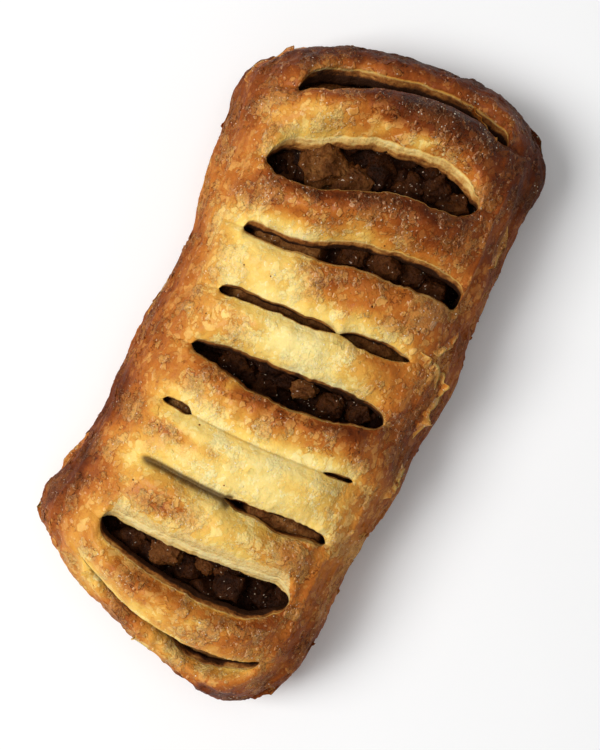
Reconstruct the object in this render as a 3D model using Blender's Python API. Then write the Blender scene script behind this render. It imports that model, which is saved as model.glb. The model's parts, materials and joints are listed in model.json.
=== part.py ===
"""Apple strudel: a slashed puff-pastry crust round an apple filling.

The crust is one closed pillow of pastry with nine slits across its top, through which the filling
shows. Metres, +Z up, origin at the centre of the footprint on the table. The long side runs along X.
Sizes below are in millimetres and are turned into metres by MM where vertices are placed.
"""

from dataclasses import dataclass

import bmesh
import bpy
import numpy as np

MM = 0.001

# Driving sizes of the pillow
RIM_HEIGHT = 11.0  # height of the widest line round the pillow
SHOULDER = 17.0  # how far in from the sides the top has rounded over
END_SHOULDER = 13.0  # the same, in from the two ends
SHOULDER_POWER = 2.2  # 2 is a round shoulder, more is a squarer one
CORNER_POWER = 5.0  # 2 cuts the corners' height away as a ball would, more keeps it up
CROWN = 2.6  # how much lower the top is CROWN_REACH to either side of the middle
CROWN_REACH = 20.0
BASE_TUCK = 6.0  # how far in the flat base lies from the widest line

# The crust's thickness and the clearance that the filling keeps from it
CRUST_TOP = 4.4
CRUST_SIDE = 5.5
CRUST_BASE = 3.2
CLEARANCE = 0.4

# Faces: columns across the crust and across its hollow, and rings of faces up their sides
CRUST_COLUMNS = 18
HOLLOW_COLUMNS = 12
CRUST_LEVELS = 4
HOLLOW_LEVELS = 2
ROWS_IN_STRIP = 5  # the first and last row of a strip keep LIP_ROW away from the lips
LIP_ROW = 1.1
END_ROW_POWER = 1.7  # rows of the end strips lie closer together where the end turns down

# Plan outline at the widest line, as (x, y) along each long side and (y, x) along each end
LEFT_SIDE = ((-51.5, 36.2), (-46, 35.6), (-35, 32.3), (-20, 31.2), (0, 30.7), (18, 29.9), (34, 32.2), (50, 34.2), (58.2, 31.4))
RIGHT_SIDE = ((-67.5, -28), (-60, -31.2), (-30, -32.2), (-12, -34.8), (10, -36.6), (27, -35), (45, -34.8), (60, -35.5), (68, -32))
TOP_END = ((-32, 68), (-24, 71.2), (-10, 72.5), (8, 70.2), (22, 65.4), (31.4, 58.2))
BOTTOM_END = ((-28, -67.5), (-22, -71.5), (-14, -72.5), (-4, -70), (12, -65), (23, -60.3), (36.4, -51.5))

# Height of the middle line of the top along the length, as (x, z)
SPINE = ((-72, 27.5), (-60, 31.5), (-50, 33.6), (-30, 34.6), (0, 35.2), (30, 35.6), (50, 34.6), (60, 32.2), (72, 28))


@dataclass(frozen=True)
class Slit:
    """One slash across the top, from its left end (y > 0) to its right end.

    far is the lip on the +X side and near the one on the -X side. Their widths are measured from
    the slit's line at five places along it. drop is how far a lip sinks below the top, roll the
    distance over which it does so, and slope how much wider the slit is at the top of that lip than
    at its foot, which is negative where the lip hangs over.
    """

    left: tuple
    middle_x: float
    right: tuple
    rims_x: tuple  # x where the slit's line meets the left and the right side
    far: tuple
    near: tuple
    far_drop: float
    far_roll: float
    near_drop: float
    near_roll: float
    far_slope: float = 0.0
    near_slope: float = 0.0
    openings: tuple = ((0.0, 1.0),)  # stretches of the slit that are open, as shares of its length


SLITS = (
    Slit((54.3, 20.3), 61.7, (62.8, -24.5), (51.5, 60.5), (1.8, 1.5, 1.6, 1.5, 1.0), (0.5, 0.4, 0.4, 0.4, 0.4),
         4.5, 4.0, 0.5, 1.6, far_slope=1.6, near_slope=-0.6),
    Slit((37.5, 20.5), 42.4, (46.0, -23.0), (36.5, 47.0), (2.2, 4.0, 5.4, 5.2, 2.8), (2.6, 4.3, 3.4, 2.6, 2.2),
         4.5, 5.0, 0.6, 1.8, far_slope=2.2, near_slope=-0.8),
    Slit((21.9, 18.4), 24.7, (27.5, -26.0), (21.5, 28.5), (0.5, 0.5, 2.0, 2.8, 2.0), (0.8, 1.4, 2.2, 2.8, 2.4),
         3.5, 4.5, 0.9, 1.8, far_slope=1.8, near_slope=0.2),
    Slit((8.8, 17.6), 9.8, (10.9, -24.2), (8.5, 11.5), (0.9, 0.8, 0.4, 0.4, 1.2), (0.6, 0.9, 1.0, 0.9, 1.2),
         2.0, 4.0, 1.2, 2.0, far_slope=0.4, openings=((0.0, 0.60), (0.65, 1.0))),
    Slit((-4.7, 18.0), -4.2, (-3.6, -24.5), (-5.0, -3.5), (0.8, 1.4, 1.6, 2.1, 1.9), (1.2, 2.7, 3.7, 3.3, 1.7),
         2.2, 3.0, 0.8, 2.0, far_slope=0.5, near_slope=0.3),
    Slit((-17.4, 18.8), -17.6, (-16.8, -23.7), (-17.5, -16.8), (0.6, 0.5, 0.4, 0.4, 0.5), (0.6, 0.5, 0.4, 0.4, 0.4),
         1.2, 3.0, 1.2, 3.0, openings=((0.0, 0.13), (0.86, 1.0))),
    Slit((-30.1, 19.2), -30.5, (-30.4, -23.2), (-29.5, -30.0), (0.4, 0.3, 0.3, 0.9, 1.0), (0.6, 0.8, 1.2, 2.4, 1.9),
         2.0, 3.0, 3.0, 4.0, far_slope=0.3, near_slope=1.2),
    Slit((-45.0, 19.5), -45.3, (-45.3, -21.5), (-41.0, -45.0), (0.6, 0.5, 0.9, 0.9, 1.2), (2.4, 4.4, 5.2, 5.0, 3.0),
         3.0, 4.0, 3.0, 3.0, far_slope=1.9, near_slope=1.6),
    Slit((-56.5, 19.0), -61.2, (-60.3, -20.5), (-46.0, -57.5), (0.3, 0.3, 0.3, 0.3, 0.3), (0.8, 1.2, 0.6, 3.2, 1.6),
         0.8, 2.0, 5.0, 4.0, far_slope=-0.6, near_slope=1.2),
)
WIDTH_STATIONS = (0.1, 0.3, 0.5, 0.7, 0.9)
CREASE = 1.3  # depth of the crease that runs on past each end of a slit
CREASE_REACH = 9.0  # how far the crease runs on
LIP_RISE = 1.1  # how much a strip swells just behind the lip that stands up


def through(points, at):
    """A smooth curve through a few (x, y) points, read at these x."""
    xs, ys = np.array(points, float).T
    slopes = np.gradient(ys, xs)
    i = np.clip(np.searchsorted(xs, at) - 1, 0, len(xs) - 2)
    step = xs[i + 1] - xs[i]
    s = np.clip((at - xs[i]) / step, 0, 1)
    return (
        (2 * s**3 - 3 * s**2 + 1) * ys[i]
        + (s**3 - 2 * s**2 + s) * step * slopes[i]
        + (3 * s**2 - 2 * s**3) * ys[i + 1]
        + (s**3 - s**2) * step * slopes[i + 1]
    )


def smooth_step(s):
    s = np.clip(s, 0, 1)
    return s * s * (3 - 2 * s)


def row_line(row, across):
    """x, y of a key row at these places across, from -1 at the right side to 1 at the left.

    Row 0 is the +X end, rows 1 to 9 are the slits and row 10 is the -X end.
    """
    if row in (0, len(SLITS) + 1):
        end = TOP_END if row == 0 else BOTTOM_END
        y = end[0][0] + (across + 1) / 2 * (end[-1][0] - end[0][0])
        return through(end, y), y
    slit = SLITS[row - 1]
    right_y = through(RIGHT_SIDE, slit.rims_x[1])
    left_y = through(LEFT_SIDE, slit.rims_x[0])
    y = right_y + (across + 1) / 2 * (left_y - right_y)
    middle_y = (slit.left[1] + slit.right[1]) / 2
    line = (
        (right_y, slit.rims_x[1]),
        slit.right[::-1],
        (middle_y, slit.middle_x),
        slit.left[::-1],
        (left_y, slit.rims_x[0]),
    )
    return through(line, y), y


def lip_widths(index, y):
    """How far the far and the near lip of a slit stand from its line at y."""
    slit = SLITS[index]
    share = slit_share(slit, y)
    cap = smooth_step(np.minimum(share, 1 - share) / 0.1 + 0.3)
    far = through(tuple(zip(WIDTH_STATIONS, slit.far)), share)
    near = through(tuple(zip(WIDTH_STATIONS, slit.near)), share)
    return cap * (far + max(slit.far_slope, 0)), cap * (near + max(slit.near_slope, 0))


def row_place(strip, row, length, y):
    """How far below its upper key row a row of the strip lies, where the strip is length long."""
    first = 0.0 if strip == 0 else lip_widths(strip - 1, y)[1] + LIP_ROW
    last = length - (0.0 if strip == len(SLITS) else lip_widths(strip, y)[0] + LIP_ROW)
    steps = ROWS_IN_STRIP - 2
    if strip == 0:
        inner = last * np.clip(row / (ROWS_IN_STRIP - 1), 0, 1) ** END_ROW_POWER
    elif strip == len(SLITS):
        inner = length - (length - first) * np.clip(1 - (row - 1) / (ROWS_IN_STRIP - 1), 0, 1) ** END_ROW_POWER
    else:
        inner = first + (last - first) * (row - 1) / steps
    return np.where(row < 0.5, 0.0, np.where(row > ROWS_IN_STRIP - 0.5, length, inner))


def plan(strip, row, across):
    """x, y of a row of the strip between two key rows, and the key rows' x, at -1 to 1 across."""
    upper_x, upper_y = row_line(strip, across)
    lower_x, lower_y = row_line(strip + 1, across)
    along = row / ROWS_IN_STRIP
    y = (1 - along) * upper_y + along * lower_y
    along = row_place(strip, row, upper_x - lower_x, y) / (upper_x - lower_x)
    y = (1 - along) * upper_y + along * lower_y
    for side, curve in ((-1.0, RIGHT_SIDE), (1.0, LEFT_SIDE)):
        rim_x, rim_y = ((1 - along) * row_line(strip, side)[i] + along * row_line(strip + 1, side)[i] for i in (0, 1))
        y = y + (1 + side * across) / 2 * (through(curve, rim_x) - rim_y)
    return (1 - along) * upper_x + along * lower_x, y, upper_x, lower_x


def half_width(x):
    return (through(LEFT_SIDE, x) - through(RIGHT_SIDE, x)) / 2


def dome(x, y, across):
    """Height of the smooth pillow's top at x, y."""
    side_share = (1 - abs(across)) * half_width(x) / SHOULDER
    end_x = np.where(x > 0, through(TOP_END, y), -through(BOTTOM_END, y))
    end_share = (end_x - abs(x)) / END_SHOULDER
    from_side, from_end = 1 - np.clip(side_share, 0, 1), 1 - np.clip(end_share, 0, 1)
    left = (from_side**CORNER_POWER + from_end**CORNER_POWER) ** (1 / CORNER_POWER)
    rounding = (1 - np.clip(left, 0, 1) ** SHOULDER_POWER) ** (1 / SHOULDER_POWER)
    crest = through(SPINE, x) - CROWN * (y / CROWN_REACH) ** 2
    return RIM_HEIGHT + (crest - RIM_HEIGHT) * rounding


def slit_share(slit, y):
    """How far along the slit this y lies, from 0 at its left end to 1 at its right end."""
    return (slit.left[1] - y) / (slit.left[1] - slit.right[1])


def lip_drop(slit, y, drop):
    """How far the lip sinks at y: drop along the slit, and the crease past its ends."""
    share = slit_share(slit, y)
    length = slit.left[1] - slit.right[1]
    past = np.maximum(-share, share - 1) * length
    crease = CREASE * (1 - smooth_step(past / CREASE_REACH))
    inside = smooth_step(np.minimum(share, 1 - share) / 0.2)
    return crease + (drop - CREASE) * inside


def relief(strip, x, y, upper_x, lower_x):
    """How far the strips' lips sink and swell, at x, y between the lines of its two key rows."""
    height = np.zeros_like(x)
    if strip > 0:
        slit = SLITS[strip - 1]
        below = np.maximum(upper_x - x - lip_widths(strip - 1, y)[1], 0)
        share = smooth_step(np.minimum(slit_share(slit, y), 1 - slit_share(slit, y)) / 0.25)
        height -= lip_drop(slit, y, slit.near_drop) * np.exp(-((below / slit.near_roll) ** 2))
        height += LIP_RISE * share * np.exp(-(((below - 3) / 2.5) ** 2))
    if strip < len(SLITS):
        slit = SLITS[strip]
        above = np.maximum(x - lower_x - lip_widths(strip, y)[0], 0)
        height -= lip_drop(slit, y, slit.far_drop) * np.exp(-((above / slit.far_roll) ** 2))
    return height


def box_grid(cuts):
    """A unit cube, cut into a grid of faces along X, Y and Z, as a bmesh."""
    mesh = bmesh.new()
    bmesh.ops.create_cube(mesh, size=2)
    for axis, pieces in enumerate(cuts):
        edges = [e for e in mesh.edges if abs((e.verts[0].co - e.verts[1].co)[axis]) > 1e-6]
        if pieces > 1:
            bmesh.ops.subdivide_edges(mesh, edges=edges, cuts=pieces - 1, use_grid_fill=True)
    return mesh


def even_columns(share):
    """Places across the pillow, the same distance apart along its surface, from shares -1 to 1."""
    across = np.linspace(-1, 1, 801)
    y = (through(LEFT_SIDE, 0.0) + through(RIGHT_SIDE, 0.0)) / 2 + across * half_width(0.0)
    z = dome(np.zeros_like(y), y, across)
    length = np.concatenate([[0], np.cumsum(np.hypot(np.diff(y), np.diff(z)))])
    return np.interp((share + 1) / 2 * length[-1], length, across)


def pillow(name, inset, base, columns, levels, top):
    """The pillow's shape shrunk by inset at its sides, with its base at that height, as an object.

    top gives the height of its upper surface from strip, x, y, the key rows' x and place across.
    """
    strips = len(SLITS) + 1
    mesh = box_grid((strips * ROWS_IN_STRIP, columns, levels))
    unit = np.array([vertex.co[:] for vertex in mesh.verts])
    across = even_columns(unit[:, 1])
    row = np.round((1 - unit[:, 0]) / 2 * strips * ROWS_IN_STRIP)
    strip_of = np.minimum(row // ROWS_IN_STRIP, strips - 1).astype(int)
    row -= strip_of * ROWS_IN_STRIP

    x, y, z = np.zeros((3, len(unit)))
    for strip in range(strips):
        on = strip_of == strip
        x[on], y[on], upper_x, lower_x = plan(strip, row[on], across[on])
        z[on] = top(strip, x[on], y[on], upper_x, lower_x, across[on])

    level = (unit[:, 2] + 1) / 2
    below = (level < 1 - 1e-6) | (np.abs(unit[:, :2]).max(axis=1) > 1 - 1e-6)
    tuck = np.where(below, inset + BASE_TUCK * (1 - np.sqrt(1 - (1 - level) ** 2)), inset)
    x *= 1 - tuck / through(TOP_END, 0.0)
    y *= 1 - tuck / half_width(0.0)
    z[below] = base + (RIM_HEIGHT - base) * level[below]
    for vertex, place in zip(mesh.verts, np.stack([x, y, z], axis=1) * MM):
        vertex.co = place
    flat = [f for f in mesh.faces if all(abs(v.co.z - base * MM) < 1e-7 for v in f.verts)]
    bmesh.ops.dissolve_faces(mesh, faces=flat)
    return finish(name, mesh)


def finish(name, mesh):
    """Turns a bmesh into a smooth-shaded object with its faces pointing out."""
    bmesh.ops.recalc_face_normals(mesh, faces=mesh.faces)
    if mesh.calc_volume(signed=True) < 0:
        bmesh.ops.reverse_faces(mesh, faces=mesh.faces)
    data = bpy.data.meshes.new(name)
    mesh.to_mesh(data)
    mesh.free()
    data.shade_smooth()
    return bpy.data.objects.new(name, data)


def crust_top(strip, x, y, upper_x, lower_x, across):
    return dome(x, y, across) + relief(strip, x, y, upper_x, lower_x)


def hollow_top(strip, x, y, upper_x, lower_x, across):
    return crust_top(strip, x, y, upper_x, lower_x, across) - CRUST_TOP


def chunk_relief(x, y):
    """How far the heaped apple lies below the crust at x, y, between 0 and 3 mm."""
    waves = np.sin(x / 2.9 + 1.3 * np.sin(y / 4.1)) * np.sin(y / 3.3 + 0.9 * np.sin(x / 5.2))
    return 1.5 - 1.5 * waves


def filling_top(strip, x, y, upper_x, lower_x, across):
    return hollow_top(strip, x, y, upper_x, lower_x, across) - CLEARANCE - chunk_relief(x, y)


def slit_cutter(name, index, opening):
    """A wedge-shaped cutter for one open stretch of a slit, wider or narrower at its top."""
    slit = SLITS[index]
    stations = 14
    mesh = box_grid((1, stations, 3))
    start, end = opening
    for vertex in mesh.verts:
        place = (1 - vertex.co.y) / 2
        share = start + (end - start) * place
        y = slit.left[1] + share * (slit.right[1] - slit.left[1])
        left_y, right_y = through(LEFT_SIDE, slit.rims_x[0]), through(RIGHT_SIDE, slit.rims_x[1])
        across = np.array(2 * (y - right_y) / (left_y - right_y) - 1)
        x, _ = row_line(index + 1, across)
        cap = np.sqrt(1 - (1 - min(place, 1 - place, 0.12) / 0.12) ** 2)
        side = slit.far if vertex.co.x > 0 else slit.near
        slope = slit.far_slope if vertex.co.x > 0 else slit.near_slope
        width = through(tuple(zip(WIDTH_STATIONS, side)), share) * (0.15 + 0.85 * cap)
        level = round((vertex.co.z + 1) * 1.5)  # 0 and 1 below the crust, 2 at its top, 3 above it
        inner = dome(x, y, across) - CRUST_TOP
        z = (inner - 7, inner - 2, inner + CRUST_TOP, inner + CRUST_TOP + 6)[level]
        width = max(width + (slope * cap if level > 1 else 0), 0.12)
        vertex.co = ((x + np.sign(vertex.co.x) * width) * MM, y * MM, z * MM)
    return finish(name, mesh)


def material(name, colour, roughness):
    made = bpy.data.materials.new(name)
    made.use_nodes = True
    shader = made.node_tree.nodes["Principled BSDF"]
    shader.inputs["Base Color"].default_value = (*colour, 1)
    shader.inputs["Roughness"].default_value = roughness
    shader.inputs["Metallic"].default_value = 0.0
    return made


def collection(name):
    made = bpy.data.collections.new(name)
    bpy.context.scene.collection.children.link(made)
    return made


def cut(target, cutter, cutters):
    """Cuts target with cutter, which stays in the scene as a hidden helper."""
    cutters.objects.link(cutter)
    cutter.hide_render = True
    cutter.display_type = "WIRE"
    boolean = target.modifiers.new(cutter.name, "BOOLEAN")
    boolean.operation = "DIFFERENCE"
    boolean.solver = "EXACT"
    boolean.object = cutter


def build():
    strudel = collection("apple_strudel")
    cutters = collection("cutters")

    crust = pillow("pastry", 0.0, 0.0, CRUST_COLUMNS, CRUST_LEVELS, crust_top)
    crust.data.materials.append(material("baked_pastry", (0.62, 0.33, 0.11), 0.45))
    strudel.objects.link(crust)
    hollow = pillow("hollow", CRUST_SIDE, CRUST_BASE, HOLLOW_COLUMNS, HOLLOW_LEVELS, hollow_top)
    cut(crust, hollow, cutters)
    for index, slit in enumerate(SLITS):
        for part, opening in enumerate(slit.openings):
            cut(crust, slit_cutter(f"slit_{index + 1}_{part + 1}", index, opening), cutters)

    filling = pillow(
        "apple_filling", CRUST_SIDE + CLEARANCE, CRUST_BASE + CLEARANCE, HOLLOW_COLUMNS, HOLLOW_LEVELS, filling_top
    )
    filling.data.materials.append(material("apple_filling", (0.16, 0.07, 0.03), 0.3))
    strudel.objects.link(filling)


for startup_object in list(bpy.data.objects):
    bpy.data.objects.remove(startup_object)
build()
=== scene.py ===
"""Apple strudel: a slashed puff-pastry crust, baked and glazed, round a heap of diced apple.

The crust is two sheets of dough, as a baker lays them: a base sheet like a shallow tray, and a
slashed sheet domed over it and sealed down along the widest line. The apple lies between them and
shows through the nine slits. Sizes are in millimetres until a mesh is made, where MM turns them
into metres. The long side runs along X, and the slits run across it, along Y.
"""

import json
import logging
import math
from dataclasses import dataclass, field
from enum import Enum
from functools import partial
from typing import Sequence

import bmesh
import bpy
import numpy as np
from mathutils import Matrix, Vector
from mathutils.bvhtree import BVHTree

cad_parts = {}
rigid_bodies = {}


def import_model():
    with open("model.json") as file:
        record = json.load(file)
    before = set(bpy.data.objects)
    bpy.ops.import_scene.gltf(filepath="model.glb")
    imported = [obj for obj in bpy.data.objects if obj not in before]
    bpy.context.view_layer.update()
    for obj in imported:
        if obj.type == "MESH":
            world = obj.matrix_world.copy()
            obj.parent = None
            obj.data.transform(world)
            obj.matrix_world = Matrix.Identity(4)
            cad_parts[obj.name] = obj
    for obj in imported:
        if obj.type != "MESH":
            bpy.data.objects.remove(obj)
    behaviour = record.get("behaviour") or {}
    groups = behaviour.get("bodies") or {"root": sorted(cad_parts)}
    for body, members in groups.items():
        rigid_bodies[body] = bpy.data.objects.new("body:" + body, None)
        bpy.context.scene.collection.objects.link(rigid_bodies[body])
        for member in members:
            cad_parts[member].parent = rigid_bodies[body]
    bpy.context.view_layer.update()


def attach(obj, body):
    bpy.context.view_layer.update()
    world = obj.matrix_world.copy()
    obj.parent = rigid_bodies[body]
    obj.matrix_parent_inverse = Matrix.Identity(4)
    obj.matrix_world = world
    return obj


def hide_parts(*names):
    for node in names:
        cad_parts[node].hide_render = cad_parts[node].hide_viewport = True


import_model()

MM = 0.001
GAPE_REACH = 2.6  # distance over which a slit opens fully, from where it is shut
Points = Sequence[tuple[float, float]]
Stops = tuple[tuple[float, tuple[int, int, int]], ...]
log = logging.getLogger("apple_strudel")


# ---------------- curves and noise


def through(points: Points, at: np.ndarray) -> np.ndarray:
    """A smooth curve through a few points, read at these places.

    Args:
        points: (place, value) pairs in rising order of place.
        at: the places to read.

    Returns:
        The values there, held flat past both ends.
    """
    places, values = np.array(points, float).T
    slopes = np.gradient(values, places)
    i = np.clip(np.searchsorted(places, at) - 1, 0, len(places) - 2)
    step = places[i + 1] - places[i]
    s = np.clip((at - places[i]) / step, 0, 1)
    return (
        (2 * s**3 - 3 * s**2 + 1) * values[i]
        + (s**3 - 2 * s**2 + s) * step * slopes[i]
        + (3 * s**2 - 2 * s**3) * values[i + 1]
        + (s**3 - s**2) * step * slopes[i + 1]
    )


def sampled(points: Points, count: int) -> np.ndarray:
    """A smooth curve through a few points, as (count, 2) places and values an even step apart."""
    at = np.linspace(points[0][0], points[-1][0], count)
    return np.stack([at, through(points, at)], axis=-1)


def lengths(line: np.ndarray) -> np.ndarray:
    """How far along a line each of its (points, 2) corners lies."""
    return np.concatenate([[0], np.cumsum(np.linalg.norm(np.diff(line, axis=0), axis=1))])


def walk(line: np.ndarray, at: np.ndarray) -> np.ndarray:
    """The (places, 2) points that lie at these distances along a line."""
    far = lengths(line)
    return np.stack([np.interp(at, far, line[:, 0]), np.interp(at, far, line[:, 1])], axis=-1)


def ease(s: np.ndarray) -> np.ndarray:
    """A soft step from 0 to 1 as s goes from 0 to 1."""
    s = np.clip(s, 0, 1)
    return s * s * (3 - 2 * s)


def hump(distance: np.ndarray, reach: float) -> np.ndarray:
    """A soft hump, 1 at no distance and dying away over the reach."""
    return np.exp(-((distance / reach) ** 2))


class Grain:
    """Smooth seeded noise in space, from -1 to 1."""

    SIDE = 32

    def __init__(self, seed: int) -> None:
        """Fills a block of random values that repeats in all directions.

        Args:
            seed: picks the block.
        """
        self.block = np.random.default_rng(seed).uniform(-1, 1, (self.SIDE,) * 3)

    def one(self, points: np.ndarray, size: float | Sequence[float]) -> np.ndarray:
        """Noise of one size.

        Args:
            points: (..., 3) places in mm.
            size: width of its lumps in mm, one for all or one for each axis.

        Returns:
            A value for each place.
        """
        p = points / np.asarray(size, float) + 7.31
        i = np.floor(p).astype(int)
        f = p - i
        f = f * f * f * (f * (6 * f - 15) + 10)
        total = np.zeros(points.shape[:-1])
        for corner in range(8):
            step = np.array([corner & 1, corner >> 1 & 1, corner >> 2 & 1])
            weight = np.prod(np.where(step, f, 1 - f), axis=-1)
            j = (i + step) % self.SIDE
            total += weight * self.block[j[..., 0], j[..., 1], j[..., 2]]
        return total

    def rough(self, points: np.ndarray, size: float | Sequence[float], layers: int = 3) -> np.ndarray:
        """Noise with finer noise on it.

        Args:
            points: (..., 3) places in mm.
            size: width of its largest lumps in mm.
            layers: how many sizes are added, each half the one before.

        Returns:
            A value for each place.
        """
        sizes = np.asarray(size, float)
        total = sum(self.one(points + 11.7 * n, sizes / 2**n) * 0.5**n for n in range(layers))
        return total / (2 - 0.5 ** (layers - 1))


# ---------------- the strudel's form


class Lip(Enum):
    """The two lips of a slit: FAR is the one on the +X side."""

    FAR = 1
    NEAR = -1


@dataclass(frozen=True)
class Side:
    """How one lip of a slit is shaped.

    Attributes:
        drop: how far the surface has sunk at the lip.
        roll: the distance over which it sinks.
        cut: width of the cut dough that faces up into the slit, in its middle.
        under: how far the foot of the cut face draws back under its lip.
        depth: height of the cut face.
        soaked: how dark the cut face is painted, from 0, dry, to 1: partly syrup that has stained it and partly painted
            shade where it lies deep in a slit or faces away from the light.
        until: y past which the cut face has closed up from above.
    """

    drop: float
    roll: float
    cut: float = 0.0
    under: float = 1.2
    depth: float = 4.2
    soaked: float = 0.4
    until: float = 60.0


@dataclass(frozen=True)
class Slit:
    """One slash across the top.

    Attributes:
        left: x, y of its end on the +Y side.
        right: x, y of its end on the -Y side.
        rims_x: x where the crease that goes on past its ends meets the right and left rim.
        far: (y, x) points of the foot of its far lip, from right to left.
        near: the same for its near lip.
        far_side: shape of the far lip.
        near_side: shape of the near lip.
        cap: length of its rounded ends.
        shut: stretches of y where the slit has closed up again.
        groove_syrup_and_shade: how brown the groove is painted along those stretches, 0 to 1, partly for syrup and
            partly as painted shade in the crease.
    """

    left: tuple[float, float]
    right: tuple[float, float]
    rims_x: tuple[float, float]
    far: Points
    near: Points
    far_side: Side
    near_side: Side
    cap: float = 1.6
    shut: Points = ()
    groove_syrup_and_shade: float = 0.0

    def inside(self, y: np.ndarray) -> np.ndarray:
        """How far y lies inside the slit's nearer end, below 0 past it."""
        return np.minimum(y - self.right[1], self.left[1] - y)

    def room(self, y: np.ndarray) -> np.ndarray:
        """How far y lies from where the lips are joined, below 0 where they are.

        Args:
            y: places across.

        Returns:
            The distance in mm to the nearer end, or to a stretch that has closed up.
        """
        room = self.inside(y)
        for low, high in self.shut:
            room = np.minimum(room, np.maximum(low - y, y - high))
        return room

    def is_shut(self, y: np.ndarray) -> np.ndarray:
        """Where the slit's lips are joined."""
        return self.room(y) <= 0

    def gape(self, y: np.ndarray) -> np.ndarray:
        """How open the slit is, from 0 where it is shut to 1 a few mm away from there."""
        return ease(self.room(y) / GAPE_REACH)

    def cut_width(self, side: Side, y: np.ndarray) -> np.ndarray:
        """How wide a lip's cut face is at y, drawn in to nothing at the rounded ends."""
        width = side.cut * ease((side.until - y) / 7.0 + 0.5)
        return width * np.sqrt(1 - (1 - np.clip(self.room(y) / (self.cap + 1.0), 0, 1)) ** 2)

    def groove(self, y: np.ndarray) -> np.ndarray:
        """How brown the groove is painted where the slit is narrow or has closed up between its ends, partly for syrup
        and partly as painted shade in the crease.

        Args:
            y: places across.

        Returns:
            The browning there, 0 to 1.
        """
        inside = ease((y - self.right[1]) / 3.0) * ease((self.left[1] - y) / 3.0)
        gap = np.where(self.is_shut(y), 0.0, through(self.far, y) - through(self.near, y))
        return self.groove_syrup_and_shade * inside * (1 - ease((gap - 0.5) / 0.9))


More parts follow.
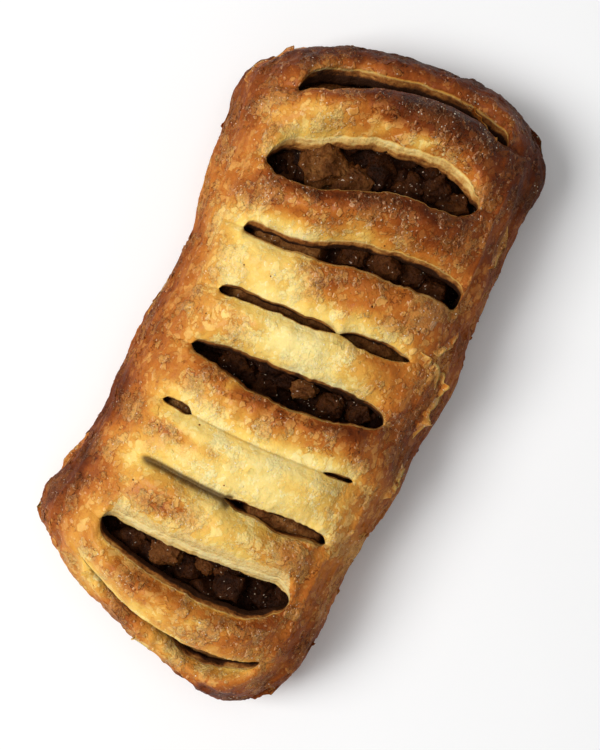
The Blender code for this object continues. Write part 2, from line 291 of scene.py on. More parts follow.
SLITS = (
    Slit(
        (53.4, 20.3), (61, -24.5), (60.5, 51.5),
        ((-21, 61.4), (-16, 62.9), (-10, 63.3), (-4, 62.8), (0, 62), (4, 61), (8, 60.4), (11, 59.8), (15, 58),
         (18, 55.8)),
        ((-22, 61), (-18, 62.4), (-13.6, 62.7), (-8, 62.5), (-2.4, 61.7), (2, 60.7), (6.4, 59.4), (10.9, 57.3),
         (14.8, 55), (18.5, 53.6)),
        Side(3.4, 3.6, cut=3.2, under=0.6, depth=4.6, soaked=1), Side(0.5, 1.4, under=2),
    ),
    Slit(
        (37.4, 20.4), (46, -24.2), (47, 36.5),
        ((-22.4, 46.6), (-19, 48.4), (-15.2, 49.2), (-10.8, 49.3), (-5.2, 49), (0.9, 47.9), (4.2, 46.2),
         (8.7, 44.6), (13.1, 42.4), (17, 40.8), (19, 39.4)),
        ((-22.4, 43.9), (-20.2, 42.9), (-16.9, 42.2), (-12.4, 41.7), (-8, 41), (-3.6, 39.7), (0.9, 38.1),
         (5.3, 36.4), (9.8, 35.3), (14.2, 35.1), (17.4, 35.4), (19.2, 36)),
        Side(4.2, 4.6, cut=2.8, under=0.8, soaked=0.45), Side(0.6, 1.6, cut=0.4, under=1.8, soaked=0.55), cap=3.4,
    ),
    Slit(
        (22.1, 18.6), (26.6, -29), (28.5, 21.5),
        ((-26, 29), (-21.9, 29.6), (-16.3, 29), (-10.8, 28.6), (-5.2, 27.5), (-0.2, 25.8), (2.5, 24.4),
         (4.2, 23.7), (8.7, 22.6), (14.2, 22.3)),
        ((-26, 25.4), (-21.9, 25.2), (-16.3, 25), (-10.8, 24.4), (-5.2, 23.6), (-1.3, 22.6), (1.8, 22.4),
         (4.2, 22.5), (8.7, 21.6), (14.2, 21.3)),
        Side(3.6, 4.4, cut=1.9, soaked=0.90), Side(1, 1.8, cut=0.7, under=0.8, soaked=0.4), cap=1.4,
    ),
    Slit(
        (8.4, 17.8), (11, -24.2), (11.5, 8.5),
        ((-22, 11.4), (-19, 11.7), (-16, 11.5), (-12, 10.9), (-8.3, 9.95), (-4, 10.1), (2, 9.9), (8, 9.6),
         (14, 9.8)),
        ((-22, 10), (-19, 9.4), (-16, 9.5), (-12, 9.6), (-8.3, 9.85), (-4, 9), (2, 8.7), (8, 8.4), (14, 8.5)),
        Side(2, 4, cut=0.8, soaked=0.85), Side(1.1, 2, cut=0.3, soaked=0.6),
        shut=((-8.9, -7.9),), groove_syrup_and_shade=0.4,
    ),
    Slit(
        (-4.4, 18.3), (-3.3, -24.8), (-3.5, -5),
        ((-21.9, -1.5), (-16.3, -1.4), (-10.8, -1.7), (-5.2, -2), (3.1, -2.5), (8.7, -2.8), (14.2, -3.2)),
        ((-23, -4.9), (-19.1, -5.7), (-14.7, -6.8), (-10.8, -7.4), (-5.2, -8), (-0.2, -7.9), (5.3, -7.4),
         (10.3, -6.5), (15.3, -5.6)),
        Side(2.4, 3.2, cut=1.2, soaked=1), Side(0.7, 1.8, cut=0.5, under=1.4, soaked=0.6), cap=3,
    ),
    Slit(
        (-17.3, 18.9), (-16.8, -24), (-16.8, -17.5),
        ((-21, -16.6), (-18, -17.2), (-11, -17.75), (0, -18.05), (12, -17.4), (14, -16.9), (17, -16.8)),
        ((-21, -17.3), (-18, -17.5), (-11, -17.85), (0, -18.15), (12, -17.9), (14, -18.1), (17, -17.9)),
        Side(1.2, 3, cut=0.5, soaked=0.6), Side(1, 3, cut=0.2, soaked=0.6), cap=1,
        shut=((-17.6, 12.4),), groove_syrup_and_shade=0.30,
    ),
    Slit(
        (-30, 19.4), (-31, -24.2), (-30, -29.5),
        ((-22, -29.8), (-18, -29.6), (-13, -29.9), (-9, -30.2), (-6, -30.3), (-4.4, -30.1), (-3.2, -30.2),
         (-1.6, -30.6), (0, -30.6), (8, -30.3), (12, -30), (15, -29.7)),
        ((-22, -31.5), (-18, -32.1), (-13, -32.1), (-9, -31.7), (-6, -31.4), (-4.4, -31.6), (-3.2, -31.4),
         (-1.6, -30.85), (0, -30.75), (8, -30.5), (12, -30.3), (15, -30.3)),
        Side(2.6, 3.4, cut=0.5, soaked=0.9), Side(3, 4.6, cut=0.7, under=0.2, soaked=0.55),
        shut=((-1, 20),), groove_syrup_and_shade=1,
    ),
    Slit(
        (-45.4, 20.4), (-45.6, -22.6), (-45, -41),
        ((-20, -43.9), (-16, -43.4), (-11, -43.8), (-5, -44.2), (5, -44.5), (11, -44.6), (17, -44.5)),
        ((-20.4, -47), (-18.6, -48.6), (-16.3, -49.7), (-10.8, -50.6), (-5.2, -50.8), (2, -50.6), (7.6, -49.8),
         (11.4, -49), (17, -47.6)),
        Side(3, 3.6, cut=2.1, soaked=0.08), Side(2.4, 2.8, cut=1.9, under=0.8, soaked=0.95), cap=2.8,
    ),
    Slit(
        (-55, 20.6), (-59.6, -22), (-57.5, -46),
        ((-19.4, -60.4), (-14.7, -61.2), (-9.7, -61.8), (-5.2, -61.7), (3.7, -61), (10.9, -58.9),
         (17.6, -56.2)),
        ((-19.4, -61.2), (-15, -63.2), (-11, -64.4), (-8, -64.4), (-5.2, -63.2), (-3, -62.2), (0, -61.5),
         (3.7, -61.2), (10.9, -59.1), (17.6, -56.4)),
        Side(0.6, 1.6, under=1, depth=5.6, soaked=0.8),
        Side(6, 4.6, cut=1.5, under=0, depth=2.6, soaked=1, until=-1),
    ),
)


@dataclass(frozen=True)
class PillowForm:
    """The smooth pillow that the sheets are laid over, and the lines of its slits.

    Attributes:
        rim_height: height of the widest line, where the sheets are sealed.
        shoulder: how far in from the sides the top has rounded over.
        shoulder_power: how squarely the shoulders are rounded, 2 for a circle.
        end_shoulder: the same, in from the two ends.
        corner_power: how squarely the shoulders of the sides and the ends meet.
        left_rim: (x, y) points of the +Y rim.
        right_rim: (x, y) points of the -Y rim.
        top_end: (y, x) points of the +X rim.
        bottom_end: (y, x) points of the -X rim.
        spine: (x, z) points of the middle line of the top.
        crown: how much lower the top is at crown_reach to either side of the middle.
        crown_reach: where the top is that much lower, to either side of the middle.
        crease: how deep the crease is that goes on past a slit's ends.
        crease_reach: how far it goes on.
        sink_reach: how far inside a slit's ends its lips have sunk fully.
        taper: length over which a slit narrows to a stretch that has closed up.
        narrow: half the width of a slit's narrowest open place.
        nicks: noise that roughens the lips.
    """

    rim_height: float = 11.0
    shoulder: float = 17.0
    shoulder_power: float = 2.2
    end_shoulder: float = 13.0
    corner_power: float = 5.0
    crown: float = 2.6
    crown_reach: float = 20.0
    crease: float = 1.3
    crease_reach: float = 9.0
    sink_reach: float = 7.0
    taper: float = 1.2
    narrow: float = 0.08
    left_rim: Points = (
        (-51.5, 36.2), (-46, 35.6), (-40, 33.9), (-34, 32.2), (-28, 31.2), (-20, 31.3), (-10, 31.4), (0, 30.7),
        (10, 30.1), (19, 29.9), (27, 31.3), (35, 32.2), (44, 33.3), (50, 34.2), (55, 33.4), (58.2, 31.4),
    )
    right_rim: Points = (
        (-67.5, -28), (-60, -30.9), (-50, -31.9), (-40, -31.6), (-30, -32.3), (-20, -34.1), (-15, -35.0), (-8, -34.4),
        (0, -35.3), (8, -36.6), (16, -35.9), (25, -35.1), (35, -34.8), (50, -34.9), (60, -35.6), (68, -32),
    )
    top_end: Points = ((-32, 68), (-24, 71.2), (-10, 72.5), (8, 70.2), (22, 65.4), (31.4, 58.2))
    bottom_end: Points = ((-28, -67.5), (-22, -71.5), (-14, -72.5), (-4, -70), (12, -65), (23, -60.3), (36.4, -51.5))
    spine: Points = (
        (-72, 27.5), (-60, 31.5), (-50, 33.6), (-30, 34.6), (0, 35.2), (30, 35.6), (50, 34.6), (60, 32.2), (72, 28),
    )
    nicks: Grain = field(default_factory=lambda: Grain(21))

    def half_width(self, x: np.ndarray) -> np.ndarray:
        """Half the pillow's width at x."""
        return (through(self.left_rim, x) - through(self.right_rim, x)) / 2

    def from_rims(self, x: np.ndarray, y: np.ndarray, across: np.ndarray) -> tuple[np.ndarray, np.ndarray]:
        """How far a place has come down to the rims.

        Args:
            x: places along the pillow.
            y: places across it.
            across: the same as a share, -1 at the right rim and 1 at the left.

        Returns:
            Shares for the sides and for the ends, 0 on the flat of the top and 1 at the rim.
        """
        side = (1 - abs(across)) * self.half_width(x) / self.shoulder
        end_x = np.where(x > 0, through(self.top_end, y), -through(self.bottom_end, y))
        end = (end_x - abs(x)) / self.end_shoulder
        return 1 - np.clip(side, 0, 1), 1 - np.clip(end, 0, 1)

    def height(self, x: np.ndarray, y: np.ndarray, across: np.ndarray) -> np.ndarray:
        """Height of the smooth top.

        Args:
            x: places along the pillow.
            y: places across it.
            across: the same as a share, -1 to 1.

        Returns:
            Heights over the table in mm.
        """
        side, end = self.from_rims(x, y, across)
        left = np.clip((side**self.corner_power + end**self.corner_power) ** (1 / self.corner_power), 0, 1)
        rounding = (1 - left**self.shoulder_power) ** (1 / self.shoulder_power)
        crest = through(self.spine, x) - self.crown * (y / self.crown_reach) ** 2
        return self.rim_height + (crest - self.rim_height) * rounding

    def outward(self, x: np.ndarray, y: np.ndarray, across: np.ndarray) -> np.ndarray:
        """Which way points straight out of the smooth top.

        Args:
            x: places along the pillow.
            y: places across it.
            across: the same as a share, -1 to 1.

        Returns:
            (..., 3) unit vectors.
        """
        side, end = self.from_rims(x, y, across)
        flat = np.stack([np.sign(x) * end**3, np.sign(across) * side**3], axis=-1)
        size = np.clip(np.linalg.norm(flat, axis=-1), 1e-9, None)
        reach = np.clip(np.maximum(side, end) ** 1.6, 0, 1)
        up = np.sqrt(1 - reach**2)
        return np.concatenate([flat / size[..., None] * reach[..., None], up[..., None]], axis=-1)

    def even_across(self, count: int) -> np.ndarray:
        """Places across that lie the same distance apart along the surface.

        Args:
            count: how many.

        Returns:
            Their shares, from -1 to 1.
        """
        across = np.linspace(-1, 1, 2001)
        zero = np.zeros_like(across)
        y = (through(self.left_rim, zero) + through(self.right_rim, zero)) / 2 + across * self.half_width(zero)
        z = self.height(zero, y, across)
        length = np.concatenate([[0], np.cumsum(np.hypot(np.diff(y), np.diff(z)))])
        return np.interp(np.linspace(0, length[-1], count), length, across)

    def line(self, row: int, lip: Lip, across: np.ndarray) -> tuple[np.ndarray, np.ndarray]:
        """The foot of one lip of a slit, or the rim of an end.

        Args:
            row: 0 is the +X rim, 1 to 9 are the slits and 10 is the -X rim.
            lip: which of the slit's lips.
            across: the places across, from -1 to 1.

        Returns:
            The x and y of each place.
        """
        if row in (0, len(SLITS) + 1):
            end = self.top_end if row == 0 else self.bottom_end
            y = end[0][0] + (across + 1) / 2 * (end[-1][0] - end[0][0])
            return through(end, y), y
        slit = SLITS[row - 1]
        right_y = float(through(self.right_rim, np.array(slit.rims_x[0])))
        left_y = float(through(self.left_rim, np.array(slit.rims_x[1])))
        y = right_y + (across + 1) / 2 * (left_y - right_y)
        first = ((right_y, slit.rims_x[0]), slit.right[::-1])
        last = (slit.left[::-1], (left_y, slit.rims_x[1]))
        middle = sum(through((*first, *foot, *last), y) for foot in (slit.far, slit.near)) / 2
        half = (through(slit.far, y) - through(slit.near, y)) / 2
        room = slit.inside(y) / slit.cap
        for low, high in slit.shut:
            room = np.minimum(room, np.maximum(low - y, y - high) / self.taper)
        spot = np.stack([y, y * 0 + 7.0 * row + 3.0 * lip.value, y * 0], axis=-1)
        nick = self.nicks.rough(spot, 1.6, 3) * 0.5 + self.nicks.one(spot + 40, 4.5) * 0.6
        half = np.maximum(half + nick * np.minimum(half, 0.7), self.narrow)
        half = half * np.sqrt(1 - (1 - np.clip(room, 0, 1)) ** 2)
        x = middle + np.where(slit.is_shut(y), 0.0, lip.value * half)
        return x, y

    def sunk(self, slit: Slit, side: Side, y: np.ndarray) -> np.ndarray:
        """How far the surface has sunk at a lip, with the crease past the slit's ends.

        Args:
            slit: the slit.
            side: the shape of this lip.
            y: places across.

        Returns:
            Depths in mm.
        """
        inside = slit.inside(y)
        crease = self.crease * (1 - ease(-inside / self.crease_reach))
        return crease + (side.drop - self.crease) * ease(inside / self.sink_reach)


# ---------------- meshes


def linked(name: str, data: bpy.types.ID) -> bpy.types.Object:
    """A new object in the scene, made of this mesh, light or camera."""
    made = bpy.data.objects.new(name, data)
    bpy.context.scene.collection.objects.link(made)
    return made


def reported(made: bpy.types.Object) -> bpy.types.Object:
    """The same object, once its faces have been counted in the log."""
    log.info("%s: %d faces", made.name.replace("_", " "), len(made.data.polygons))
    return made


@dataclass
class Shell:
    """A mesh being put together, with values at its points.

    Attributes:
        points: the places, in batches.
        values: what the points carry under each name, in the same batches.
        faces: the point numbers of each face.
        count: how many points there are so far.
    """

    points: list[np.ndarray] = field(default_factory=list)
    values: dict[str, list[np.ndarray]] = field(default_factory=dict)
    faces: list[tuple[int, ...]] = field(default_factory=list)
    count: int = 0

    def add(self, points: np.ndarray, **values: np.ndarray | float) -> np.ndarray:
        """Adds points.

        Args:
            points: (..., 3) places in mm.
            **values: what each point carries, as an array of the same shape or one number.

        Returns:
            The new points' numbers, in the same shape.
        """
        shape = points.shape[:-1]
        numbers = np.arange(self.count, self.count + math.prod(shape)).reshape(shape)
        self.points.append(points.reshape(-1, 3))
        for name in set(self.values) | set(values):
            so_far = self.values.setdefault(name, [np.zeros(self.count)] if self.count else [])
            so_far.append(np.broadcast_to(np.asarray(values.get(name, 0.0), float), shape).reshape(-1))
        self.count += numbers.size
        return numbers

    def skin(self, grid: np.ndarray, flip: bool = False) -> None:
        """Lays faces over a grid of point numbers, leaving out the ones that have no width.

        Args:
            grid: (rows, columns) numbers.
            flip: turns the faces over.
        """
        a, b, c, d = grid[:-1, :-1], grid[:-1, 1:], grid[1:, 1:], grid[1:, :-1]
        quads = np.stack([a, d, c, b] if flip else [a, b, c, d], axis=-1).reshape(-1, 4)
        for quad in quads.tolist():
            corners = tuple(dict.fromkeys(quad))
            if len(corners) > 2:
                self.faces.append(corners)

    def make(self, name: str, material: bpy.types.Material) -> bpy.types.Object:
        """Turns the shell into an object.

        Args:
            name: the object's name.
            material: its finish.

        Returns:
            The object, linked to the scene.
        """
        mesh = bpy.data.meshes.new(name)
        used = np.zeros(self.count, bool)
        used[[corner for face in self.faces for corner in face]] = True
        renumber = (np.cumsum(used) - 1).tolist()
        faces = [tuple(renumber[corner] for corner in face) for face in self.faces]
        mesh.from_pydata((np.concatenate(self.points)[used] * MM).tolist(), [], faces)
        for key, parts in self.values.items():
            layer = mesh.attributes.new(key, "FLOAT", "POINT")
            layer.data.foreach_set("value", np.concatenate(parts)[used].astype(np.float32))
        mesh.materials.append(material)
        mesh.shade_smooth()
        mesh.validate()
        return reported(linked(name, mesh))


# ---------------- browning


@dataclass(frozen=True)
class Patch:
    """A place on the strudel that differs from what is round it.

    Attributes:
        x: where its middle lies along the strudel, in mm.
        y: where its middle lies across it.
        long: its reach along X.
        wide: its reach along Y.
    """

    x: float
    y: float
    long: float
    wide: float


@dataclass(frozen=True)
class Scorch(Patch):
    """A patch of the top that the oven has browned more, or less, than what is round it.

    Attributes:
        deepen: how much darker its middle is, or paler if it is negative.
        turn: how far it is turned, in degrees.
    """

    deepen: float
    turn: float = 0.0

    def at(self, x: np.ndarray, y: np.ndarray) -> np.ndarray:
        """How much it darkens these places.

        Args:
            x: places along the strudel.
            y: places across it.

        Returns:
            What is added to the browning there.
        """
        c, s = math.cos(math.radians(self.turn)), math.sin(math.radians(self.turn))
        u = (c * (x - self.x) + s * (y - self.y)) / self.long
        v = (c * (y - self.y) - s * (x - self.x)) / self.wide
        return self.deepen * np.exp(-((u * u + v * v) ** 1.3))


SCORCHES = tuple(Scorch(*row) for row in (
    # the darkest crest, under the +X slit, and the pale ragged skins beside it
    (60, -14, 2.6, 11, 0.08), (52.4, 1.5, 1.5, 2.6, -0.20), (54, -7, 1.7, 5, -0.26, 12),
    (50.5, 14, 2, 3, -0.12), (47, 22, 3, 2.2, -0.10),
    # pale spots on the next crest down, and brown spots beside the third slit
    (31.5, 10, 1.6, 4, -0.14), (31, -3, 1.4, 3, -0.12), (37, 5, 1.2, 2.4, -0.10),
    (19, -4, 1.6, 3, 0.12), (3.5, 1, 2.4, 4, -0.08), (4, -13, 2, 3, 0.10),
    # white skins behind the fifth slit, and golden streaks on the palest strip
    (-8.6, 7, 1.2, 2.2, -0.20), (-10.5, -1, 1.6, 1.6, -0.12), (-9.5, -20, 2.4, 4, 0.10),
    (-22.5, 8, 1.4, 10, 0.14, -4), (-22, -12, 1.4, 4, 0.12), (-21.5, 15, 1.6, 4, 0.08),
    # spots near the -X end
    (-37, 10, 1.8, 5, 0.12), (-57, -6, 1.6, 2.8, -0.12), (-58.6, 5, 1.3, 2.6, -0.12),
    (-57.4, -11.5, 1.2, 1.6, -0.12), (-63.4, -10, 1.6, 5, 0.20, 14), (-71.5, -12, 1.6, 14, 0.25, 8),
    # the long sides
    (-27, 30, 15, 2.4, 0.10), (-46, 33, 6, 2.6, 0.12), (13, 29.5, 12, 2, 0.06),
))


@dataclass(frozen=True)
class StripBrowning:
    """How brown one strip has baked, in hundredths, at seven places from its left end to its right.

    Attributes:
        crest: just behind its upper lip.
        middle: half way between its lips.
        foot: where it turns down into the slit below.
    """

    crest: tuple[int, ...]
    middle: tuple[int, ...]
    foot: tuple[int, ...]


STRIPS = tuple(StripBrowning(*row) for row in (
    ((85, 90, 90, 92, 94, 89, 91), (79, 86, 86, 86, 84, 79, 87), (77, 64, 70, 77, 78, 77, 83)),
    ((69, 72, 86, 97, 98, 97, 93), (69, 53, 56, 86, 82, 87, 87), (61, 34, 40, 62, 56, 61, 65)),
    ((61, 76, 96, 96, 94, 95, 77), (49, 70, 68, 66, 74, 79, 71), (53, 26, 18, 42, 50, 57, 65)),
    ((55, 25, 28, 65, 68, 65, 61), (61, 40, 30, 50, 60, 61, 71), (63, 40, 12, 20, 14, 31, 67)),
    ((61, 52, 24, 10, 28, 67, 61), (65, 50, 42, 4, 18, 51, 69), (61, 44, 36, 22, 6, 39, 73)),
    ((75, 68, 74, 84, 78, 87, 75), (61, 60, 46, 52, 54, 61, 71), (81, 38, 20, 20, 8, 17, 51)),
    ((67, 36, 18, 20, 8, 29, 67), (71, 52, 30, 18, 12, 31, 59), (67, 30, 16, 16, 12, 25, 41)),
    ((67, 30, 40, 22, 34, 61, 55), (75, 54, 56, 34, 36, 59, 59), (71, 38, 32, 26, 22, 49, 53)),
    ((69, 50, 68, 64, 60, 81, 65), (63, 52, 62, 50, 66, 65, 73), (63, 40, 42, 44, 50, 53, 75)),
    ((65, 34, 74, 50, 50, 45, 65), (65, 38, 70, 42, 52, 67, 73), (55, 48, 60, 50, 60, 63, 67)),
))


@dataclass(frozen=True)
class Browning:
    """How brown the glazed top has baked, from 0, pale cream, to 1, nearly black.

    Attributes:
        strips: how each strip has baked, from +X to -X.
        places: the y of the seven places of each strip, from left to right.
        scorches: the patches that stand out.
    """

    strips: tuple[StripBrowning, ...] = STRIPS
    places: tuple[float, ...] = (29.0, 19.0, 9.0, 0.0, -9.0, -19.0, -30.0)
    scorches: tuple[Scorch, ...] = SCORCHES

    def along(self, values: tuple[int, ...], y: np.ndarray) -> np.ndarray:
        """Values at the seven places, in hundredths, carried on smoothly to every y."""
        return through(tuple(zip(self.places, values))[::-1], y) / 100

    def at(self, strip: int, below: np.ndarray, above: np.ndarray, points: np.ndarray, grain: Grain) -> np.ndarray:
        """Browning of places on one strip.

        Args:
            strip: which strip.
            below: distance of each place from the strip's upper lip.
            above: distance from its lower lip.
            points: (..., 3) places.
            grain: noise for the borders of the patches.

        Returns:
            The browning at each place.
        """
        x = points[..., 0] + grain.rough(points, 6.0) * 2.0
        y = points[..., 1] + grain.rough(points + 40, 6.0) * 2.5
        warp = grain.rough(points + 80, 5.0) * 0.12
        whole = np.maximum(below + above, 1e-6)
        t = below / whole + warp * np.sin(np.pi * below / whole)
        here = self.strips[strip]
        crest, foot = self.along(here.crest, y), self.along(here.foot, y)
        if strip > 0:
            both = (crest + self.along(self.strips[strip - 1].foot, y)) / 2
            crest = crest + (both - crest) * self.past(SLITS[strip - 1], points[..., 1])
        if strip < len(SLITS):
            both = (foot + self.along(self.strips[strip + 1].crest, y)) / 2
            foot = foot + (both - foot) * self.past(SLITS[strip], points[..., 1])
        upper, lower = ease(1 - t / 0.5), ease((t - 0.5) / 0.5)
        tone = crest * upper + self.along(here.middle, y) * (1 - upper - lower) + foot * lower
        for scorch in self.scorches:
            tone = tone + scorch.at(x, y)
        return tone

    @staticmethod
    def past(slit: Slit, y: np.ndarray) -> np.ndarray:
        """How far y lies past a slit's ends, 0 inside to 1 a few mm outside."""
        return ease(0.5 - slit.inside(y) / 6.0)


# ---------------- the two sheets of dough


@dataclass
class SlashedSheet:
    """The upper sheet: domed, slashed nine times, and sealed down along the rim.

    Attributes:
        form: the pillow it is laid over.
        browning: how it has baked.
        columns: points across it.
        rows: rows of faces on each strip between two slits, on its top.
        inner_rows: the same on its underside.
        cut_levels: rows of faces down each cut face.
        thick: thickness of the sheet.
        edge: height of the folded edge along the rim.
        swell: how far a strip's crest swells up behind its upper lip.
        waves: heights of the long and the short waves of the rim.
        flaking: width, share and thickness of each layer of skins that has flaked off.
        drawn_in: how far the underside's edge stands in from the top's.
        hem: share of the width, along each side, over which the underside draws in.
        lumps: noise for lumps, and for how the browning is blotched.
        skins: noise for wrinkles and for the skins that flake off.
    """

    form: PillowForm
    browning: Browning
    columns: int = 189
    rows: int = 36
    inner_rows: int = 4
    cut_levels: int = 9
    thick: float = 4.2
    edge: float = 2.4
    swell: float = 1.2
    waves: tuple[float, float] = (1.5, 0.8)
    flaking: tuple[tuple[float, float, float], ...] = ((7.0, 0.22, 0.22), (4.2, 0.18, 0.16), (2.4, 0.2, 0.1))
    drawn_in: float = 5.0
    hem: float = 0.2
    lumps: Grain = field(default_factory=lambda: Grain(3))
    skins: Grain = field(default_factory=lambda: Grain(8))

    def relief(self, strip: int, x: np.ndarray, y: np.ndarray, below: np.ndarray, above: np.ndarray) -> np.ndarray:
        """How far the strip's surface stands from the smooth pillow.

        Args:
            strip: which strip.
            x: places along the strudel.
            y: places across it.
            below: distance of each place from the strip's upper lip.
            above: distance from its lower lip.

        Returns:
            Heights in mm.
        """
        form = self.form
        spot = np.stack([x * 0, y, x * 0 + strip * 9.0], axis=-1)
        sway = 1 + 0.35 * self.lumps.one(spot, 9.0)
        height = np.zeros_like(x)
        if strip > 0:
            slit = SLITS[strip - 1]
            side = slit.near_side
            height -= form.sunk(slit, side, y) * (1 - np.clip(below / (side.roll * sway * 1.25), 0, 1)) ** 2
            height += self.swell * ease(slit.inside(y) / 5.0) * sway * hump(below - 3.2, 2.9)
        if strip < len(SLITS):
            slit = SLITS[strip]
            side = slit.far_side
            height -= form.sunk(slit, side, y) * (1 - np.clip(above / (side.roll * sway * 1.25), 0, 1)) ** 2
        return height

    def weather(self, points: np.ndarray, outward: np.ndarray, side: np.ndarray) -> tuple[np.ndarray, np.ndarray]:
        """Gives the smooth surface its lumps, wrinkles and lifted skins.

        Args:
            points: (..., 3) places.
            outward: the direction out of the surface at each.
            side: how far each has come down to the rim, 0 to 1.

        Returns:
            The moved places, and how much of the top skin has flaked off at each, 0 to 1.
        """
        lift = 0.55 * self.lumps.rough(points, (9.0, 7.0, 9.0), 2) + 0.22 * self.lumps.rough(points + 50, 3.2, 3)
        wall = ease((side - 0.25) / 0.35)
        folds = 1 - 2 * abs(self.skins.one(points, (17.0, 3.2, 3.2)))
        lift = lift + wall * (0.45 * folds + 0.3 * self.skins.rough(points + 20, (9.0, 2.2, 2.2), 2))
        flaked = np.zeros(points.shape[:-1])
        thickest = self.flaking[0][2]
        for size, level, step in self.flaking:
            skin = self.skins.rough(points + 9.1 * size, (size * 1.3, size, size), 3)
            gone = ease((skin - level) / 0.05)
            lift = lift - step * gone
            flaked = np.maximum(flaked, gone * (0.5 + 0.5 * step / thickest))
        return points + outward * lift[..., None], flaked

    def lay_strip(self, strip: int, across: np.ndarray) -> dict[str, np.ndarray]:
        """Places over one strip, on a grid, with how they lie.

        Args:
            strip: which strip.
            across: the columns' places across, from -1 to 1.

        Returns:
            Arrays of (rows + 1, columns): points, below, above, side and outward.
        """
        form = self.form
        steps = np.linspace(0, 1, self.rows + 1)
        if strip == 0:
            steps = steps**1.5
        elif strip == len(SLITS):
            steps = 1 - (1 - steps) ** 1.5
        else:
            steps = 0.55 * steps + 0.45 * ease(steps)
        t = steps[:, None]
        upper = form.line(strip, Lip.NEAR, across)
        lower = form.line(strip + 1, Lip.FAR, across)
        upper_x, lower_x = upper[0], lower[0]
        if strip > 0:
            slit = SLITS[strip - 1]
            upper_x = upper_x - slit.cut_width(slit.near_side, upper[1])
        if strip < len(SLITS):
            slit = SLITS[strip]
            lower_x = lower_x + slit.cut_width(slit.far_side, lower[1])
        x = (1 - t) * upper_x + t * lower_x
        y = (1 - t) * upper[1] + t * lower[1]
        for column, rim in ((0, form.right_rim), (-1, form.left_rim)):
            off = through(rim, x[:, column]) - y[:, column]
            share = (1 - across) / 2 if column == 0 else (1 + across) / 2
            y = y + off[:, None] * share
        across_grid = np.broadcast_to(across, x.shape)
        side, end = form.from_rims(x, y, across_grid)
        below, above = upper_x - x, x - lower_x
        rim = np.maximum(side, end)
        wander = np.stack([x, y, x * 0], axis=-1)
        z = form.height(x, y, across_grid) + self.relief(strip, x, y, below, above) * (1 - rim**4)
        wave = self.waves[0] * self.lumps.one(wander, 13.0) + self.waves[1] * self.skins.one(wander, 5.0)
        z = z + wave * (rim**8 - (side * end) ** 8)
        return {
            "points": np.stack([x, y, z], axis=-1),
            "below": below,
            "above": above,
            "side": np.maximum(side, end * 0.8),
            "outward": form.outward(x, y, across_grid),
        }

    def cut_face(self, slit: Slit, side: Side, lip: Lip, y: np.ndarray, top: np.ndarray) -> np.ndarray:
        """Places down a slit's cut face.

        Args:
            slit: the slit.
            side: the shape of this lip.
            lip: which lip it is.
            y: the columns' places across.
            top: (columns, 3) places along the lip.

        Returns:
            (levels, columns, 3) places, the lip itself first.
        """
        s = np.linspace(0, 1, self.cut_levels + 1)[:, None]
        gape = slit.gape(y)
        toward = -lip.value * slit.cut_width(side, y) * (1 - (1 - np.minimum(s / 0.85, 1)) ** 1.5)
        back = lip.value * side.under * gape * (s if side.cut == 0 else ease((s - 0.7) / 0.3))
        points = np.repeat(top[None], len(s), axis=0)
        points[..., 0] += toward + back
        points[..., 2] -= side.depth * (s if side.cut == 0 else 0.8 * s + 0.2 * s**3)
        rough = self.lumps.rough(points, (2.2, 9.0, 0.9), 3) * 0.34 * gape * np.minimum(3 * s, 1)
        points[..., 0] += rough
        return points

    def dress(self, shell: Shell, strip: int, lay: dict[str, np.ndarray]) -> np.ndarray:
        """Weathers and browns one strip, and adds its top to the mesh.

        Args:
            shell: the mesh.
            strip: which strip.
            lay: the strip as it was laid, whose points are moved.

        Returns:
            The point numbers of its top.
        """
        below, above = lay["below"], lay["above"]
        places, flaked = self.weather(lay["points"], lay["outward"], lay["side"])
        tone = self.browning.at(strip, below, above, lay["points"], self.lumps)
        lay["points"], y = places, places[..., 1]
        # the lips carry how dark their cut dough is painted: partly syrup, partly painted shade
        lip, groove, verge, soaked = (np.zeros_like(tone) for _ in range(4))
        if strip > 0:
            slit = SLITS[strip - 1]
            lip = hump(below, 0.55) * slit.gape(y)
            groove = slit.groove(y) * hump(below, 1.3) * 0.8
            soaked[0] = slit.near_side.soaked
        if strip < len(SLITS):
            slit = SLITS[strip]
            far = slit.far_side
            groove = np.maximum(groove, slit.groove(y) * hump(above, 0.9))
            verge = slit.gape(y) * hump(above, 2.2) * ease(far.cut / 2) * (1 - ease(far.soaked * 1.2))
            soaked[-1] = far.soaked
        if strip == len(SLITS) - 1:
            lip = np.maximum(lip, hump(above, 0.6) * slit.gape(y))
        room = np.minimum(below, above - 0.6) - 0.9
        loose = ease(room) * np.clip(0.25 + 1.5 * (tone - 0.3), 0.12, 1.0)
        loose = loose * (0.5 + 0.5 * self.skins.one(places, 9.0))
        values = {"bake": tone, "flaked": flaked, "lip": lip, "groove": groove, "verge": verge, "soaked": soaked}
        return shell.add(places, **values, wall=lay["side"], loose=loose)

    def underside(self, strip: int, over: np.ndarray, across: np.ndarray) -> np.ndarray:
        """Places on the underside of one strip, on the top's columns but with fewer rows.

        Args:
            strip: which strip.
            over: (rows + 1, columns, 3) places on its top.
            across: the columns' places across, from -1 to 1.

        Returns:
            (inner_rows + 1, columns, 3) places.
        """
        over = over[np.linspace(0, self.rows, self.inner_rows + 1).astype(int)]
        under = over.copy()
        low = self.form.rim_height - self.edge
        under[..., 2] -= self.thick
        inset = 1 - self.drawn_in / self.form.half_width(np.zeros(1))[0]
        border = abs(across) > 1 - self.hem
        under[..., 1] *= np.where(border, inset + (1 - inset) * (1 - abs(across)) / self.hem, 1.0)
        under[..., 2] = np.maximum(under[..., 2], low)
        under[:, 0, 2] = under[:, -1, 2] = low
        if strip == 0:
            under[0, :, 0] -= self.drawn_in
            under[0, :, 2] = low
        if strip == len(SLITS):
            under[-1, :, 0] += self.drawn_in
            under[-1, :, 2] = low
        under[..., 2] = np.minimum(under[..., 2], over[..., 2] - self.edge)
        return under

